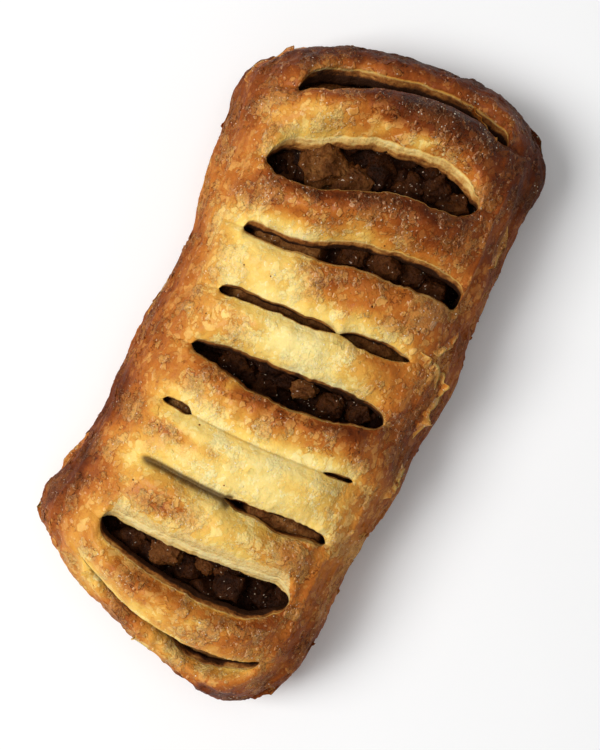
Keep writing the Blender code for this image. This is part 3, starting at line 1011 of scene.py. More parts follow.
    @staticmethod
    def join_rows(grids: list[np.ndarray], shuts: list[np.ndarray]) -> None:
        """Gives neighbouring strips the same point numbers where their slit is shut.

        Args:
            grids: point numbers of each strip.
            shuts: for each slit, which columns are shut.
        """
        for shut, above, below in zip(shuts, grids, grids[1:]):
            below[0][shut] = above[-1][shut]

    def build(self, material: bpy.types.Material) -> bpy.types.Object:
        """Makes the sheet: its top, its cut faces, its underside and its folded edge.

        Args:
            material: the baked finish.

        Returns:
            The finished piece.
        """
        shell = Shell()
        across = self.form.even_across(self.columns)
        ys = [self.form.line(row, Lip.FAR, across)[1] for row in range(1, len(SLITS) + 1)]
        shuts = [slit.is_shut(y) for slit, y in zip(SLITS, ys)]
        laid = [self.lay_strip(strip, across) for strip in range(len(SLITS) + 1)]
        for shut, above, below in zip(shuts, laid, laid[1:]):
            upper, lower = above["points"][-1], below["points"][0]
            upper[shut] = lower[shut] = ((upper + lower) / 2)[shut]
        tops = [self.dress(shell, strip, lay) for strip, lay in enumerate(laid)]
        self.join_rows(tops, shuts)
        for grid in tops:
            shell.skin(grid)

        # the underside's rows end at the foot of the cut faces, and are joined where a slit is shut
        unders = [self.underside(strip, lay["points"], across) for strip, lay in enumerate(laid)]
        walls = []
        for slit, y, shut, (above, below), (over, under) in zip(
            SLITS, ys, shuts, zip(laid, laid[1:]), zip(unders, unders[1:])
        ):
            far = self.cut_face(slit, slit.far_side, Lip.FAR, y, above["points"][-1])
            near = self.cut_face(slit, slit.near_side, Lip.NEAR, y, below["points"][0])
            foot = (far[-1] + near[-1]) / 2
            free = ~(shut & (abs(across) > 1 - self.hem))
            for wall, row in ((far, over[-1]), (near, under[0])):
                row[free] = np.where(shut[:, None], foot, wall[-1])[free]
            over[-1][shut] = under[0][shut] = ((over[-1] + under[0]) / 2)[shut]
            walls.append((far, near))
        # the underside is painted as dark as the darkest cut dough: partly syrup, partly painted shade inside the
        # strudel
        inner = [shell.add(under, cut=1.0, depth=self.thick + 2, soaked=1.0) for under in unders]
        self.join_rows(inner, shuts)
        for grid in inner:
            shell.skin(grid, flip=True)

        for row, (slit, shut, (far, near)) in enumerate(zip(SLITS, shuts, walls)):
            faces = (far, tops[row][-1], inner[row][-1]), (near, tops[row + 1][0], inner[row + 1][0])
            changes = np.flatnonzero(np.diff(shut.astype(int)))
            for first, last in zip(changes[::2], changes[1::2] + 1):
                self.close_cut(shell, slit, slice(first, last + 1), faces)
        self.fold_edge(shell, tops, inner)
        return shell.make("slashed_sheet", material)

    @staticmethod
    def close_cut(shell: Shell, slit: Slit, span: slice, faces: Sequence[tuple[np.ndarray, ...]]) -> None:
        """Lays a slit's two cut faces from the top to the underside, along one open stretch.

        Args:
            shell: the mesh.
            slit: the slit.
            span: the columns of the stretch, from one shut column to the next.
            faces: for the far and the near cut face, its places, and the point numbers over and under it.
        """
        grids = []
        for (wall, top, foot), side in zip(faces, (slit.far_side, slit.near_side)):
            places = wall[:, span]
            depth = places[0, :, 2] - places[..., 2]
            numbers = shell.add(places[1:-1], cut=1.0, depth=depth[1:-1], soaked=side.soaked)
            grids.append(np.concatenate([top[None, span], numbers, foot[None, span]]))
        for end in (0, -1):
            grids[1][:, end] = grids[0][:, end]
        shell.skin(grids[0])
        shell.skin(grids[1], flip=True)

    def fold_edge(self, shell: Shell, tops: list[np.ndarray], inner: list[np.ndarray]) -> None:
        """Closes the rim with faces from the top's last row to the underside's.

        Args:
            shell: the mesh.
            tops: point numbers of the strips' tops.
            inner: the same of their undersides.
        """
        shell.skin(np.stack([tops[0][0], inner[0][0]]), flip=True)
        shell.skin(np.stack([tops[-1][-1], inner[-1][-1]]))
        each = self.rows // self.inner_rows
        for top, under in zip(tops, inner):
            for column in (0, -1):
                for i in range(self.inner_rows):
                    outer = top[i * each : (i + 1) * each + 1, column].tolist()
                    ring = outer + [int(under[i + 1, column]), int(under[i, column])]
                    ring = list(dict.fromkeys(ring))
                    shell.faces.append(tuple(ring if column == 0 else ring[::-1]))


@dataclass
class BaseSheet:
    """The lower sheet: a shallow tray that carries the apple and meets the slashed sheet at the rim.

    Attributes:
        form: the pillow's form.
        points: how many points go round it.
        levels: rows of faces down its outside.
        top: height of its upper edge, just under the slashed sheet.
        tuck: how far in its flat base lies from the widest line.
        thick: thickness of the dough.
        floor: height of the floor inside it.
        bend: height at which its inside turns up.
        draw: height below which its side draws in to the base.
        set_back: how far its side stands in from the widest line.
        hide: how much further its upper edge draws in, out of sight under the slashed sheet.
        hide_from: height at which it starts to.
        hide_over: the height over which it does.
        grain: noise for its folds and its browning.
    """

    form: PillowForm
    points: int = 720
    levels: int = 16
    top: float = 12.4
    tuck: float = 6.0
    thick: float = 3.2
    floor: float = 3.4
    bend: float = 7.0
    draw: float = 11.0
    set_back: float = 0.45
    hide: float = 1.3
    hide_from: float = 9.4
    hide_over: float = 2.6
    grain: Grain = field(default_factory=lambda: Grain(21))

    def rim(self) -> np.ndarray:
        """Goes round the widest line.

        Returns:
            (points, 2) places an even distance apart, which close on the first.
        """
        form = self.form
        top, bottom = (sampled(end, 80)[:, ::-1] for end in (form.top_end, form.bottom_end))
        left, right = (sampled(side, 160) for side in (form.left_rim, form.right_rim))
        line = np.concatenate([top, left[::-1], bottom[::-1], right, top[:1]])
        return walk(line, np.linspace(0, lengths(line)[-1], self.points, endpoint=False))

    def build(self, material: bpy.types.Material) -> bpy.types.Object:
        """Makes the tray from rings of points.

        Args:
            material: the baked finish.

        Returns:
            The finished piece.
        """
        rim = self.rim()
        along = np.roll(rim, -3, axis=0) - np.roll(rim, 3, axis=0)
        inward = np.stack([-along[:, 1], along[:, 0]], axis=-1)
        for _ in range(12):
            inward = (np.roll(inward, 1, axis=0) + 2 * inward + np.roll(inward, -1, axis=0)) / 4
        inward /= np.linalg.norm(inward, axis=1)[:, None]

        # rings of points up its inside, and then down its outside
        insets = [self.tuck + 1.5, self.tuck - 0.6, self.thick + 0.8]
        inside = len(insets)
        outer = self.top * np.linspace(1, 0, self.levels + 1)
        heights = [self.floor, self.bend, self.top - 1.0, *outer]
        for z, more in zip(outer, self.hide * ease((outer - self.hide_from) / self.hide_over)):
            insets.append(self.set_back + more + self.tuck * (1 - math.sqrt(1 - (1 - z / self.draw) ** 2)))
        shell, rings = Shell(), []
        for level, (z, inset) in enumerate(zip(heights, insets)):
            flat = rim + inward * inset
            ring = np.concatenate([flat, np.full((len(flat), 1), z)], axis=1)
            if inside <= level < len(heights) - 1:
                folds = 1 - 2 * abs(self.grain.one(ring, (16.0, 16.0, 2.4)))
                push = 0.3 * folds + 0.45 * self.grain.rough(ring, (7.0, 7.0, 4.0), 3)
                push *= min(1.0, (len(heights) - 1 - level) / 3, (level - inside + 1) / 3)
                ring[:, :2] -= inward * push[:, None]
            low = 1 - z / self.top
            tone = 0.6 + 0.2 * low**2 + ring[:, 0] / 720 - ring[:, 1] / 500 + 0.12 * self.grain.rough(ring + 30, 9.0, 2)
            crust = float(level >= inside)
            loose = crust * min(1.0, z / 5)
            rings.append(shell.add(ring, bake=tone, flaked=0.35, cut=1 - crust, wall=crust, loose=loose))
        for upper, lower in zip(rings, rings[1:]):
            shell.skin(np.stack([upper, lower])[:, list(range(len(rim))) + [0]], flip=True)
        shell.faces.append(tuple(rings[0].tolist()))
        shell.faces.append(tuple(rings[-1][::-1].tolist()))
        return shell.make("base_sheet", material)


def pastry_flake(name: str, grain: Grain, sides: int = 9) -> bpy.types.Mesh:
    """One thin flake of baked skin, about 1 m in radius, with ragged edges that curl up.

    Args:
        name: the mesh's name.
        grain: noise for its outline.
        sides: how many corners it has.

    Returns:
        The mesh.
    """
    angle = np.linspace(0, math.tau, sides, endpoint=False)
    round_it = np.stack([np.cos(angle), np.sin(angle), angle * 0], axis=-1)
    reach = 0.82 + 0.9 * grain.one(round_it * 2.0, 1.1) + 0.5 * grain.one(round_it * 5 + 9, 0.8)
    outline = round_it * np.clip(reach, 0.35, 1.3)[:, None]
    outline[:, 1] *= 0.62 + 0.5 * abs(float(grain.one(np.array([3.0, 1.0, 2.0]), 1.0)))
    outline[:, 2] = 0.10 + 0.16 * grain.one(round_it * 1.5 + 30, 1.0)
    middle = np.array([[0.0, 0.0, 0.05]])
    points = np.concatenate([middle, outline, outline * (0.97, 0.97, 1.0) - (0, 0, 0.12), middle - (0, 0, 0.14)])
    faces = []
    for i in range(sides):
        a, b = 1 + i, 1 + (i + 1) % sides
        faces += [(0, a, b), (a, a + sides, b + sides, b), (2 * sides + 1, b + sides, a + sides)]
    mesh = bpy.data.meshes.new(name)
    mesh.from_pydata(points.tolist(), [], faces)
    return mesh


def strew_flakes(sheet: bpy.types.Object, material: bpy.types.Material) -> bpy.types.Object:
    """Strews loose flakes over a sheet, most of them where it is brown.

    Args:
        sheet: the sheet of dough, with a value named loose.
        material: the baked finish.

    Returns:
        The finished piece.
    """
    strewing = Strewing("loose", gap=1.5, density=900000.0, least=0.35, most=1.25, seed=4, flat=True)
    kinds = [pastry_flake(f"flake_{seed}", Grain(seed)) for seed in range(204, 253, 7)]
    made = strewing.over(sheet, "crust_flakes", kinds, material)
    marks = made.data.attributes["flaked"].data
    marks.foreach_set("value", np.full(len(marks), 1.0, np.float32))
    return made


@dataclass(frozen=True)
class Peel:
    """A torn skin that has lifted off the crust along one edge.

    Attributes:
        line: x, y points along the edge that still holds.
        width: how far it reaches from there, to the left as one goes along the line.
        lift: how far its free edge stands off the crust.
        bake: how brown it is.
    """

    line: Points
    width: float
    lift: float
    bake: float


PEEL_STEP = 0.3  # distance between two points along a torn skin
PEEL_THICK = 0.2  # thickness of a torn skin
PEELS = tuple(Peel(*row) for row in (
    (((-3.5, -32), (0.5, -31.2), (3.2, -31.4), (5.6, -32.4), (8, -33)), -3.2, 0.8, 0.61),
    (((11.4, -31.2), (9.4, -32.6), (6.6, -33)), 2.2, 1, 0.57),
    (((13.6, -25.4), (10.8, -28.2), (10.4, -30.4), (8, -31.6)), 2, 0.8, 0.59),
    (((15.4, -27.4), (17, -29.4), (19.4, -30.2), (22, -31)), -2.2, 0.7, 0.65),
    (((51, 30.6), (55, 30.4), (58.4, 28.4)), 2.4, 0.9, 0.75),
    (((57.6, 28.6), (60.2, 26.6), (63.6, 22.6)), 2.2, 0.8, 0.71),
    (((-18, -31.4), (-13, -32.4), (-9, -32.2)), -2.4, 0.7, 0.61),
    (((-3, 32), (3, 31.4), (8, 31)), 2, 0.7, 0.65),
    (((-41, 34.6), (-36, 34.4), (-31.5, 33.4)), 2.2, 0.8, 0.69),
    (((-66.6, -1), (-66.4, 1.6), (-65.8, 4)), 2.4, 0.6, 0.47),
    (((36, -31.2), (41, -31.8), (46, -31.6)), -2.2, 0.7, 0.71),
    (((60, -22), (63.4, -18), (65.6, -12)), -2, 0.7, 0.75),
))


def lay_peels(sheet: bpy.types.Object, material: bpy.types.Material, grain: Grain) -> bpy.types.Object:
    """Makes the torn skins, each held to the crust along its line.

    Args:
        sheet: the crust they stand on.
        material: the baked finish.
        grain: noise for their ragged edges.

    Returns:
        The finished piece.
    """
    corners = [vertex.co / MM for vertex in sheet.data.vertices]
    crust = BVHTree.FromPolygons(corners, [tuple(face.vertices) for face in sheet.data.polygons])
    shell = Shell()
    share = np.linspace(0, 1, 6)
    for number, peel in enumerate(PEELS):
        line = np.array(peel.line)
        whole = lengths(line)[-1]
        at = np.linspace(0, whole, int(whole / PEEL_STEP) + 1)
        flat = np.concatenate([walk(line, at), at[:, None] * 0], axis=1)
        flat[:, :2] += 0.5 * np.stack([grain.rough(flat, 2.5, 2), grain.rough(flat + 40, 2.5, 2)], axis=-1)
        held, out = [], []
        for x, y, _ in flat.tolist():
            place, normal, _, _ = crust.ray_cast(Vector((x, y, 60.0)), Vector((0, 0, -1)))
            if place is None:
                place, normal, _, _ = crust.find_nearest(Vector((x, y, 15.0)))
            held.append(tuple(place))
            out.append(tuple(normal))
        held, out = np.array(held), np.array(out)
        for _ in range(6):
            held[1:-1] = (held[:-2] + 2 * held[1:-1] + held[2:]) / 4
            out[1:-1] = (out[:-2] + 2 * out[1:-1] + out[2:]) / 4
        out /= np.linalg.norm(out, axis=1)[:, None]
        side = np.cross(out, np.gradient(held, axis=0))
        side /= np.linalg.norm(side, axis=1)[:, None]
        ends = np.sqrt(np.clip(np.sin(np.pi * at / whole), 0.02, 1))
        ragged = 0.9 + 0.45 * grain.one(flat + number, 2.2) + 0.4 * grain.one(flat + 20, 0.7)
        reach = peel.width * ends * np.clip(ragged, 0.25, 1.5)
        top = held[:, None] + side[:, None] * (reach[:, None] * share)[..., None]
        rise = peel.lift * share**2 * ends[:, None] + 0.12 * grain.one(top, 0.8) * share - 0.05
        top = top + out[:, None] * rise[..., None]
        under = top - out[:, None] * PEEL_THICK
        pale = np.broadcast_to(2.1 * share**5, top.shape[:2])
        grids = [shell.add(points, bake=peel.bake, flaked=0.6, lip=pale) for points in (top, under)]
        shell.skin(grids[0])
        shell.skin(grids[1], flip=True)
        around = [np.concatenate([g[0], g[1:, -1], g[-1, -2::-1], g[-2::-1, 0]]) for g in grids]
        shell.skin(np.stack(around))
    made = shell.make("torn_skins", material)
    loose = bmesh.new()
    loose.from_mesh(made.data)
    bmesh.ops.recalc_face_normals(loose, faces=loose.faces)
    loose.to_mesh(made.data)
    loose.free()
    return made


# ---------------- the apple


@dataclass(frozen=True)
class Dice:
    """One piece of diced apple, placed where it is listed.

    Attributes:
        x: where it lies along the strudel, in mm.
        y: where it lies across it.
        below: how far its middle lies under the smooth top.
        size: its length, width and height.
        turn: how far it is turned about the upright, in degrees.
        tip: how far it leans over, in degrees.
        pale: how light it is, 0 to 1; the dark of the low values is partly syrup and partly painted shade on dice deep
            under the lips.
        soft: how far its corners have cooked away, 0 to 1.
    """

    x: float
    y: float
    below: float
    size: tuple[float, float, float]
    turn: float = 0.0
    tip: float = 0.0
    pale: float = 0.3
    soft: float = 0.5


DICE = tuple(Dice(*row) for row in (
    (40.6, 8.2, 9, (9.5, 9, 9), 34, 22, 0.76, 0.60), (39.8, 1.6, 9.8, (8.5, 7, 8.5), -14, -16, 0.56, 0.62),
    (43.5, -3.4, 12.2, (8, 6.5, 7), 40, -14, 0.10),
    (44, -9.4, 11, (6.5, 6, 6), -20, 12, 0.22),
    (46.4, -14.2, 10.6, (6, 6, 6), 35, -12, 0.15),
    (37.6, 15.2, 12, (7, 6.5, 6), 25, 8, 0.30),
    (44.6, -19.6, 9, (4.5, 6, 5), 30, 20, 0.40),
    (25.8, -4.8, 9.2, (4.5, 5.5, 5), 15, 12, 0.30),
    (26.8, -11.5, 8.6, (5.5, 6.5, 6), -30, -10, 0.45),
    (27.6, -17.6, 9, (4.5, 5.5, 5), 35, 15, 0.30),
    (26.6, -22.6, 8.4, (4.5, 5.5, 5), 10, -18, 0.45),
    (-3.4, -6.6, 7, (3.4, 5, 2.6), 30, 18, 0.70),
    (-4.8, 8.6, 10.6, (5.5, 7, 6), -12, 10, 0.12),
    (-5.6, 1.4, 11, (5.5, 5.5, 6), 28, -16, 0.10),
    (-4.4, -13.4, 9.6, (5, 5.5, 5), 8, 14, 0.26),
    (-3.4, -19.4, 9, (4, 5, 4.4), 38, -8, 0.20),
    (-46.6, 5.6, 8.4, (5.4, 6.6, 5), 20, 12, 0.72),
    (-45.6, -3, 8.2, (2.8, 4, 2.6), -18, 10, 0.60),
    (-45.4, -6.6, 8.6, (2.2, 2.8, 2.2), 28, 0, 0.50),
    (-47.4, 12.8, 9.8, (5.5, 6, 5), 38, -12, 0.25),
    (-47.6, -9.6, 12.6, (6, 6.5, 6), 12, 8, 0.04),
    (-46.6, -16.4, 11.6, (6, 6, 6), -30, 14, 0.08),
))


@dataclass(frozen=True)
class Rise(Patch):
    """A patch where the filling has swelled up close under a narrow slit.

    Attributes:
        lift: how far it stands over the rest.
        pale: how light it is.
    """

    lift: float
    pale: float

    def at(self, x: np.ndarray, y: np.ndarray) -> np.ndarray:
        """Its share at these places, 1 in its middle."""
        return hump(abs(x - self.x), self.long) * ease((self.wide - abs(y - self.y)) / 3.0 + 0.5)


RISES = tuple(Rise(*row) for row in (
    (10.6, -3, 5, 22, 4.4, 0.95), (22.4, 9, 4.5, 8, 4.6, 1.05), (26.5, -14, 5, 12, 1, 0.55),
    (-17.4, 15.5, 3.5, 3.5, 5, 1.25), (-17.2, -20.5, 3, 3, 3.8, 0.80), (-31, -14.5, 4, 9, 4.6, 0.95),
    (-63, -12, 4, 10, 5.4, 1.15), (57, 14, 5, 7, 3, 0.75), (62.6, -8, 3, 15, 2.4, 0.60),
))


def diced_apple(name: str, cuts: int, grain: Grain, softness: float) -> bpy.types.Mesh:
    """One cooked apple dice, 1 m across, with rounded edges and an uneven skin.

    Args:
        name: the mesh's name.
        cuts: how finely each side is divided.
        grain: noise that makes it uneven.
        softness: how far its corners have cooked away, 0 to 1.

    Returns:
        The mesh.
    """
    shell = Shell()
    steps = np.linspace(-1, 1, cuts + 1)
    seen: dict[tuple[float, ...], int] = {}
    places, faces = [], []
    for axis in range(3):
        for sign in (-1.0, 1.0):
            grid = np.zeros((cuts + 1, cuts + 1), int)
            for i, u in enumerate(steps):
                for j, v in enumerate(steps):
                    place = [0.0, 0.0, 0.0]
                    place[axis], place[(axis + 1) % 3], place[(axis + 2) % 3] = sign, float(u), float(v)
                    key = tuple(round(p, 6) for p in place)
                    grid[i, j] = seen.setdefault(key, len(seen))
                    if grid[i, j] == len(places):
                        places.append(place)
            faces.append((grid, sign > 0))
    cube = np.array(places)
    ball = cube / np.linalg.norm(cube, axis=1)[:, None]
    box = cube * (1 - softness) + ball * softness * 1.15
    bent = cube * 3.1 + 0.8 * np.stack([grain.one(cube * 3 + k, 1.6) for k in (0.0, 9.0, 18.0)], axis=-1)
    box += ball * (grain.rough(bent, 2.4, 4) * 0.42 + grain.rough(bent + 30, 0.7, 2) * 0.10)[:, None]
    shell.add(box / MM / 2)
    for grid, flip in faces:
        shell.skin(grid, flip=flip)
    mesh = bpy.data.meshes.new(name)
    mesh.from_pydata((np.concatenate(shell.points) * MM).tolist(), [], shell.faces)
    mesh.shade_smooth()
    return mesh


@dataclass
class AppleHeap:
    """The filling: a dark heap set in syrup, with diced apple standing out of it; its dark colours are partly painted
    shade for the filling deep under the crust.

    Attributes:
        form: the pillow's form.
        below: how far the heap lies under the smooth top.
        short: how far it stops short of the two ends.
        fill: its share of the pillow's width.
        aside: how far its middle lies from the pillow's, along Y.
        rows: points along it.
        columns: points across it.
        fall: how far it falls away at its border.
        border: the share of its size over which it falls.
        least: least height of its top.
        base: height of its underside.
        strewn_from: height from which bits of apple lie on it.
        grain: noise for its lumps.
    """

    form: PillowForm
    below: float = 9.6
    short: float = 6.5
    fill: float = 0.78
    aside: float = -2.0
    rows: int = 301
    columns: int = 131
    fall: float = 6.0
    border: float = 0.12
    least: float = 4.4
    base: float = 3.9
    strewn_from: float = 12.5
    grain: Grain = field(default_factory=lambda: Grain(34))

    def heap(self, material: bpy.types.Material) -> bpy.types.Object:
        """Makes the heap under the dice.

        Args:
            material: the syrup's finish, whose dark is partly painted shade.

        Returns:
            The finished piece.
        """
        down = np.linspace(0, 1, self.rows)[:, None]
        share = np.linspace(-1, 1, self.columns)[None, :]
        across = share * self.fill + down * 0
        y = across * self.form.half_width(down * 0) + self.aside
        first, last = through(self.form.top_end, y) - self.short, through(self.form.bottom_end, y) + self.short
        x = (1 - down) * first + down * last
        z = self.form.height(x, y, across) - self.below
        pale = np.zeros_like(z)
        for rise in RISES:
            share_here = rise.at(x, y)
            z, pale = z + rise.lift * share_here, np.maximum(pale, rise.pale * share_here)
        places = np.stack([x, y, z], axis=-1)
        places[..., 2] += 1.1 * self.grain.rough(places, 6.5, 2) + 0.6 * self.grain.rough(places + 70, 2.4, 3)
        places[..., 2] += 0.5 * self.grain.rough(places + 90, 1.3, 2)
        edge = np.maximum(abs(share), abs(2 * down - 1))
        falling = ease((edge - (1 - self.border)) / self.border)
        places[..., 2] = np.maximum(places[..., 2] - self.fall * falling, self.least)
        shell = Shell()
        strew = (1 - ease(pale * 4)) * ease((places[..., 2] - self.strewn_from) / 1.5)
        top = shell.add(places, pale=pale, strew=strew)
        shell.skin(top)
        ring = [*top[0, :-1], *top[:-1, -1], *top[-1, :0:-1], *top[:0:-1, 0]]
        flat = np.concatenate(shell.points)[ring]
        flat[:, 2] = self.base
        low = shell.add(flat)
        shell.skin(np.stack([np.array(ring + ring[:1]), np.array([*low, low[0]])]), flip=True)
        shell.faces.append(tuple(low[::-1].tolist()))
        return shell.make("apple_heap", material)

    def placed_dice(self, material: bpy.types.Material) -> bpy.types.Object:
        """Makes the listed dice under the wide slits.

        Args:
            material: the apple's finish.

        Returns:
            The finished piece.
        """
        joined = bmesh.new()
        for number, dice in enumerate(DICE):
            mesh = diced_apple("dice", cuts=22, grain=Grain(100 + number), softness=dice.soft)
            x, y = np.array(dice.x), np.array(dice.y)
            rim = self.form.half_width(x)
            middle = (through(self.form.left_rim, x) + through(self.form.right_rim, x)) / 2
            z = float(self.form.height(x, y, (y - middle) / rim)) - dice.below
            place = Matrix.Translation(Vector((dice.x, dice.y, z)) * MM)
            turn = Matrix.Rotation(math.radians(dice.turn), 4, "Z") @ Matrix.Rotation(math.radians(dice.tip), 4, "Y")
            mesh.transform(place @ turn @ Matrix.Diagonal((*(s * MM for s in dice.size), 1)))
            layer = mesh.attributes.new("pale", "FLOAT", "POINT")
            layer.data.foreach_set("value", [dice.pale] * len(mesh.vertices))
            joined.from_mesh(mesh)
            bpy.data.meshes.remove(mesh)
        made = linked("apple_dice", bpy.data.meshes.new("apple_dice"))
        joined.to_mesh(made.data)
        joined.free()
        made.data.materials.append(material)
        return reported(made)

    def scattered_dice(self, heap: bpy.types.Object, material: bpy.types.Material) -> bpy.types.Object:
        """Strews smaller bits of apple over the whole heap.

        Args:
            heap: what they lie on.
            material: the apple's finish.

        Returns:
            The finished piece.
        """
        strewing = Strewing("strew", gap=4.6, density=60000.0, least=2.8, most=6.2, seed=5, flat=False)
        kinds = [diced_apple(f"bit_{seed}", cuts=5, grain=Grain(seed), softness=0.42) for seed in range(60, 65)]
        made = strewing.over(heap, "strewn_apple", kinds, material)
        made.data.shade_smooth()
        return made


# ---------------- nodes


def new_node(tree: bpy.types.NodeTree, kind: str, settings: dict, inputs: dict) -> bpy.types.NodeOutputs:
    """Adds a node to a tree.

    Args:
        tree: the tree.
        kind: the node's type.
        settings: its own settings, set first, with stops for a ramp's (place, colour) pairs.
        inputs: the value or link of each socket, by name or number.

    Returns:
        Its outputs.
    """
    made = tree.nodes.new(kind)
    for key, value in settings.items():
        if key != "stops":
            setattr(made, key, value)
            continue
        ramp = made.color_ramp
        while len(ramp.elements) < len(value):
            ramp.elements.new(0.5)
        for element, (place, colour) in zip(ramp.elements, value):
            element.position, element.color = place, (*colour, 1)
    for key, value in inputs.items():
        if isinstance(value, bpy.types.NodeSocket):
            tree.links.new(value, made.inputs[key])
        else:
            made.inputs[key].default_value = value
    return made.outputs


@dataclass(frozen=True)
class Strewing:
    """How copies of a few meshes are strewn over a piece.

    Attributes:
        where: the value of the piece's points that says how densely they are strewn, 0 to 1.
        gap: the least distance between two copies, in mm.
        density: how many are tried on a square metre.
        least: size of the smallest copies, in mm.
        most: size of the largest.
        seed: picks the arrangement.
        flat: whether the copies lie flat on the surface, or any way round.
    """

    where: str
    gap: float
    density: float
    least: float
    most: float
    seed: int
    flat: bool

    def inputs(self) -> dict[str, float]:
        """The tree's named inputs, with lengths in m."""
        sizes = {"Gap": self.gap * MM, "Least": self.least * MM, "Most": self.most * MM}
        return {**sizes, "Density": self.density, "Seed": self.seed}

    def tree(self, kinds: bpy.types.Collection, material: bpy.types.Material) -> bpy.types.NodeTree:
        """Makes the nodes that strew copies of a collection's objects over a mesh.

        Args:
            kinds: the objects to copy.
            material: the finish of the copies.

        Returns:
            The tree.
        """
        tree = bpy.data.node_groups.new(f"strew_{self.where}", "GeometryNodeTree")
        tree.interface.new_socket("Geometry", in_out="INPUT", socket_type="NodeSocketGeometry")
        for label in self.inputs():
            kind = "NodeSocketInt" if label == "Seed" else "NodeSocketFloat"
            tree.interface.new_socket(label, in_out="INPUT", socket_type=kind)
        tree.interface.new_socket("Geometry", in_out="OUTPUT", socket_type="NodeSocketGeometry")

        node = partial(new_node, tree)
        given = node("NodeGroupInput", {}, {})
        share = node("GeometryNodeInputNamedAttribute", {"data_type": "FLOAT"}, {"Name": self.where})
        spread = node("GeometryNodeDistributePointsOnFaces", {"distribute_method": "POISSON"}, {
            "Mesh": given["Geometry"], "Distance Min": given["Gap"], "Density Max": given["Density"],
            "Density Factor": share["Attribute"], "Seed": given["Seed"],
        })
        pick = node("GeometryNodeCollectionInfo", {}, {"Collection": kinds, "Separate Children": True})
        limits = {2: given["Least"], 3: given["Most"], "Seed": given["Seed"]}
        size = node("FunctionNodeRandomValue", {"data_type": "FLOAT"}, limits)
        lean = 0.10 if self.flat else math.tau
        turns = {0: (-lean, -lean, 0.0), 1: (lean, lean, math.tau), "Seed": 3}
        turn = node("FunctionNodeRandomValue", {"data_type": "FLOAT_VECTOR"}, turns)
        placed = {"Points": spread["Points"], "Instance": pick[0], "Pick Instance": True, "Scale": size[1]}
        if self.flat:
            placed["Rotation"] = spread["Rotation"]
        copies = node("GeometryNodeInstanceOnPoints", {}, placed)
        tipped = node("GeometryNodeRotateInstances", {}, {"Instances": copies["Instances"], "Rotation": turn[0]})
        real = node("GeometryNodeRealizeInstances", {}, {"Geometry": tipped["Instances"]})
        finished = node("GeometryNodeSetMaterial", {}, {"Geometry": real["Geometry"], "Material": material})
        node("NodeGroupOutput", {}, {"Geometry": finished["Geometry"]})
        return tree

    def over(
        self, piece: bpy.types.Object, name: str, kinds: Sequence[bpy.types.Mesh], material: bpy.types.Material
    ) -> bpy.types.Object:
        """Strews copies over a piece.

        Args:
            piece: what they lie on.
            name: the new piece's name.
            kinds: the meshes to copy.
            material: the finish of the copies.

        Returns:
            The copies, as one plain mesh without a modifier.
        """
        held = bpy.data.collections.new(f"{name}_kinds")
        for number, kind in enumerate(kinds):
            held.objects.link(bpy.data.objects.new(f"{name}_kind_{number}", kind))
        made = linked(name, piece.data.copy())
        modifier = made.modifiers.new(name, "NODES")
        modifier.node_group = self.tree(held, material)
        values = self.inputs()
        for socket in modifier.node_group.interface.items_tree:
            if socket.name in values:
                modifier[socket.identifier] = values[socket.name]
        bpy.context.view_layer.update()
        ready = made.evaluated_get(bpy.context.evaluated_depsgraph_get())
        mesh = bpy.data.meshes.new_from_object(ready)
        made.modifiers.clear()
        made.data = mesh
        for kind in list(held.objects):
            bpy.data.objects.remove(kind)
        bpy.data.collections.remove(held)
        return reported(made)


# ---------------- finishes


class Shade:
    """A socket of a material that can be used in sums."""

    def __init__(self, board: "Board", socket: bpy.types.NodeSocket) -> None:
        """Keeps the socket and the board it belongs to."""
        self.board, self.socket = board, socket

    def _sum(self, operation: str, *values: "Shade | float") -> "Shade":
        """A Math node on these values."""
        return self.board.node("ShaderNodeMath", {"operation": operation}, dict(enumerate(values)))

    def __add__(self, other: "Shade | float") -> "Shade":
        """self + other."""
        return self._sum("ADD", self, other)

    __radd__ = __add__

    def __sub__(self, other: "Shade | float") -> "Shade":
        """self - other."""
        return self._sum("SUBTRACT", self, other)

    def __rsub__(self, other: "Shade | float") -> "Shade":
        """other - self."""
        return self._sum("SUBTRACT", other, self)

    def __mul__(self, other: "Shade | float") -> "Shade":
        """self * other."""
        return self._sum("MULTIPLY", self, other)

    __rmul__ = __mul__

    def __truediv__(self, other: "Shade | float") -> "Shade":
        """self / other."""
        return self._sum("DIVIDE", self, other)

    def __abs__(self) -> "Shade":
        """The size of self."""
        return self._sum("ABSOLUTE", self)

    def over(self, other: "Shade | float") -> "Shade":
        """The larger of the two."""
        return self._sum("MAXIMUM", self, other)

    def waves(self) -> "Shade":
        """The sine of self."""
        return self._sum("SINE", self)

    def step(self, low: float, high: float) -> "Shade":
        """A soft step.

        Args:
            low: where it is 0.
            high: where it is 1, which may be the lower of the two.

        Returns:
            A value from 0 to 1.
        """
        inputs = {"Value": self, "From Min": low, "From Max": high}
        if low > high:
            inputs |= {"From Min": high, "From Max": low, "To Min": 1.0, "To Max": 0.0}
        return self.board.node("ShaderNodeMapRange", {"interpolation_type": "SMOOTHSTEP"}, inputs)


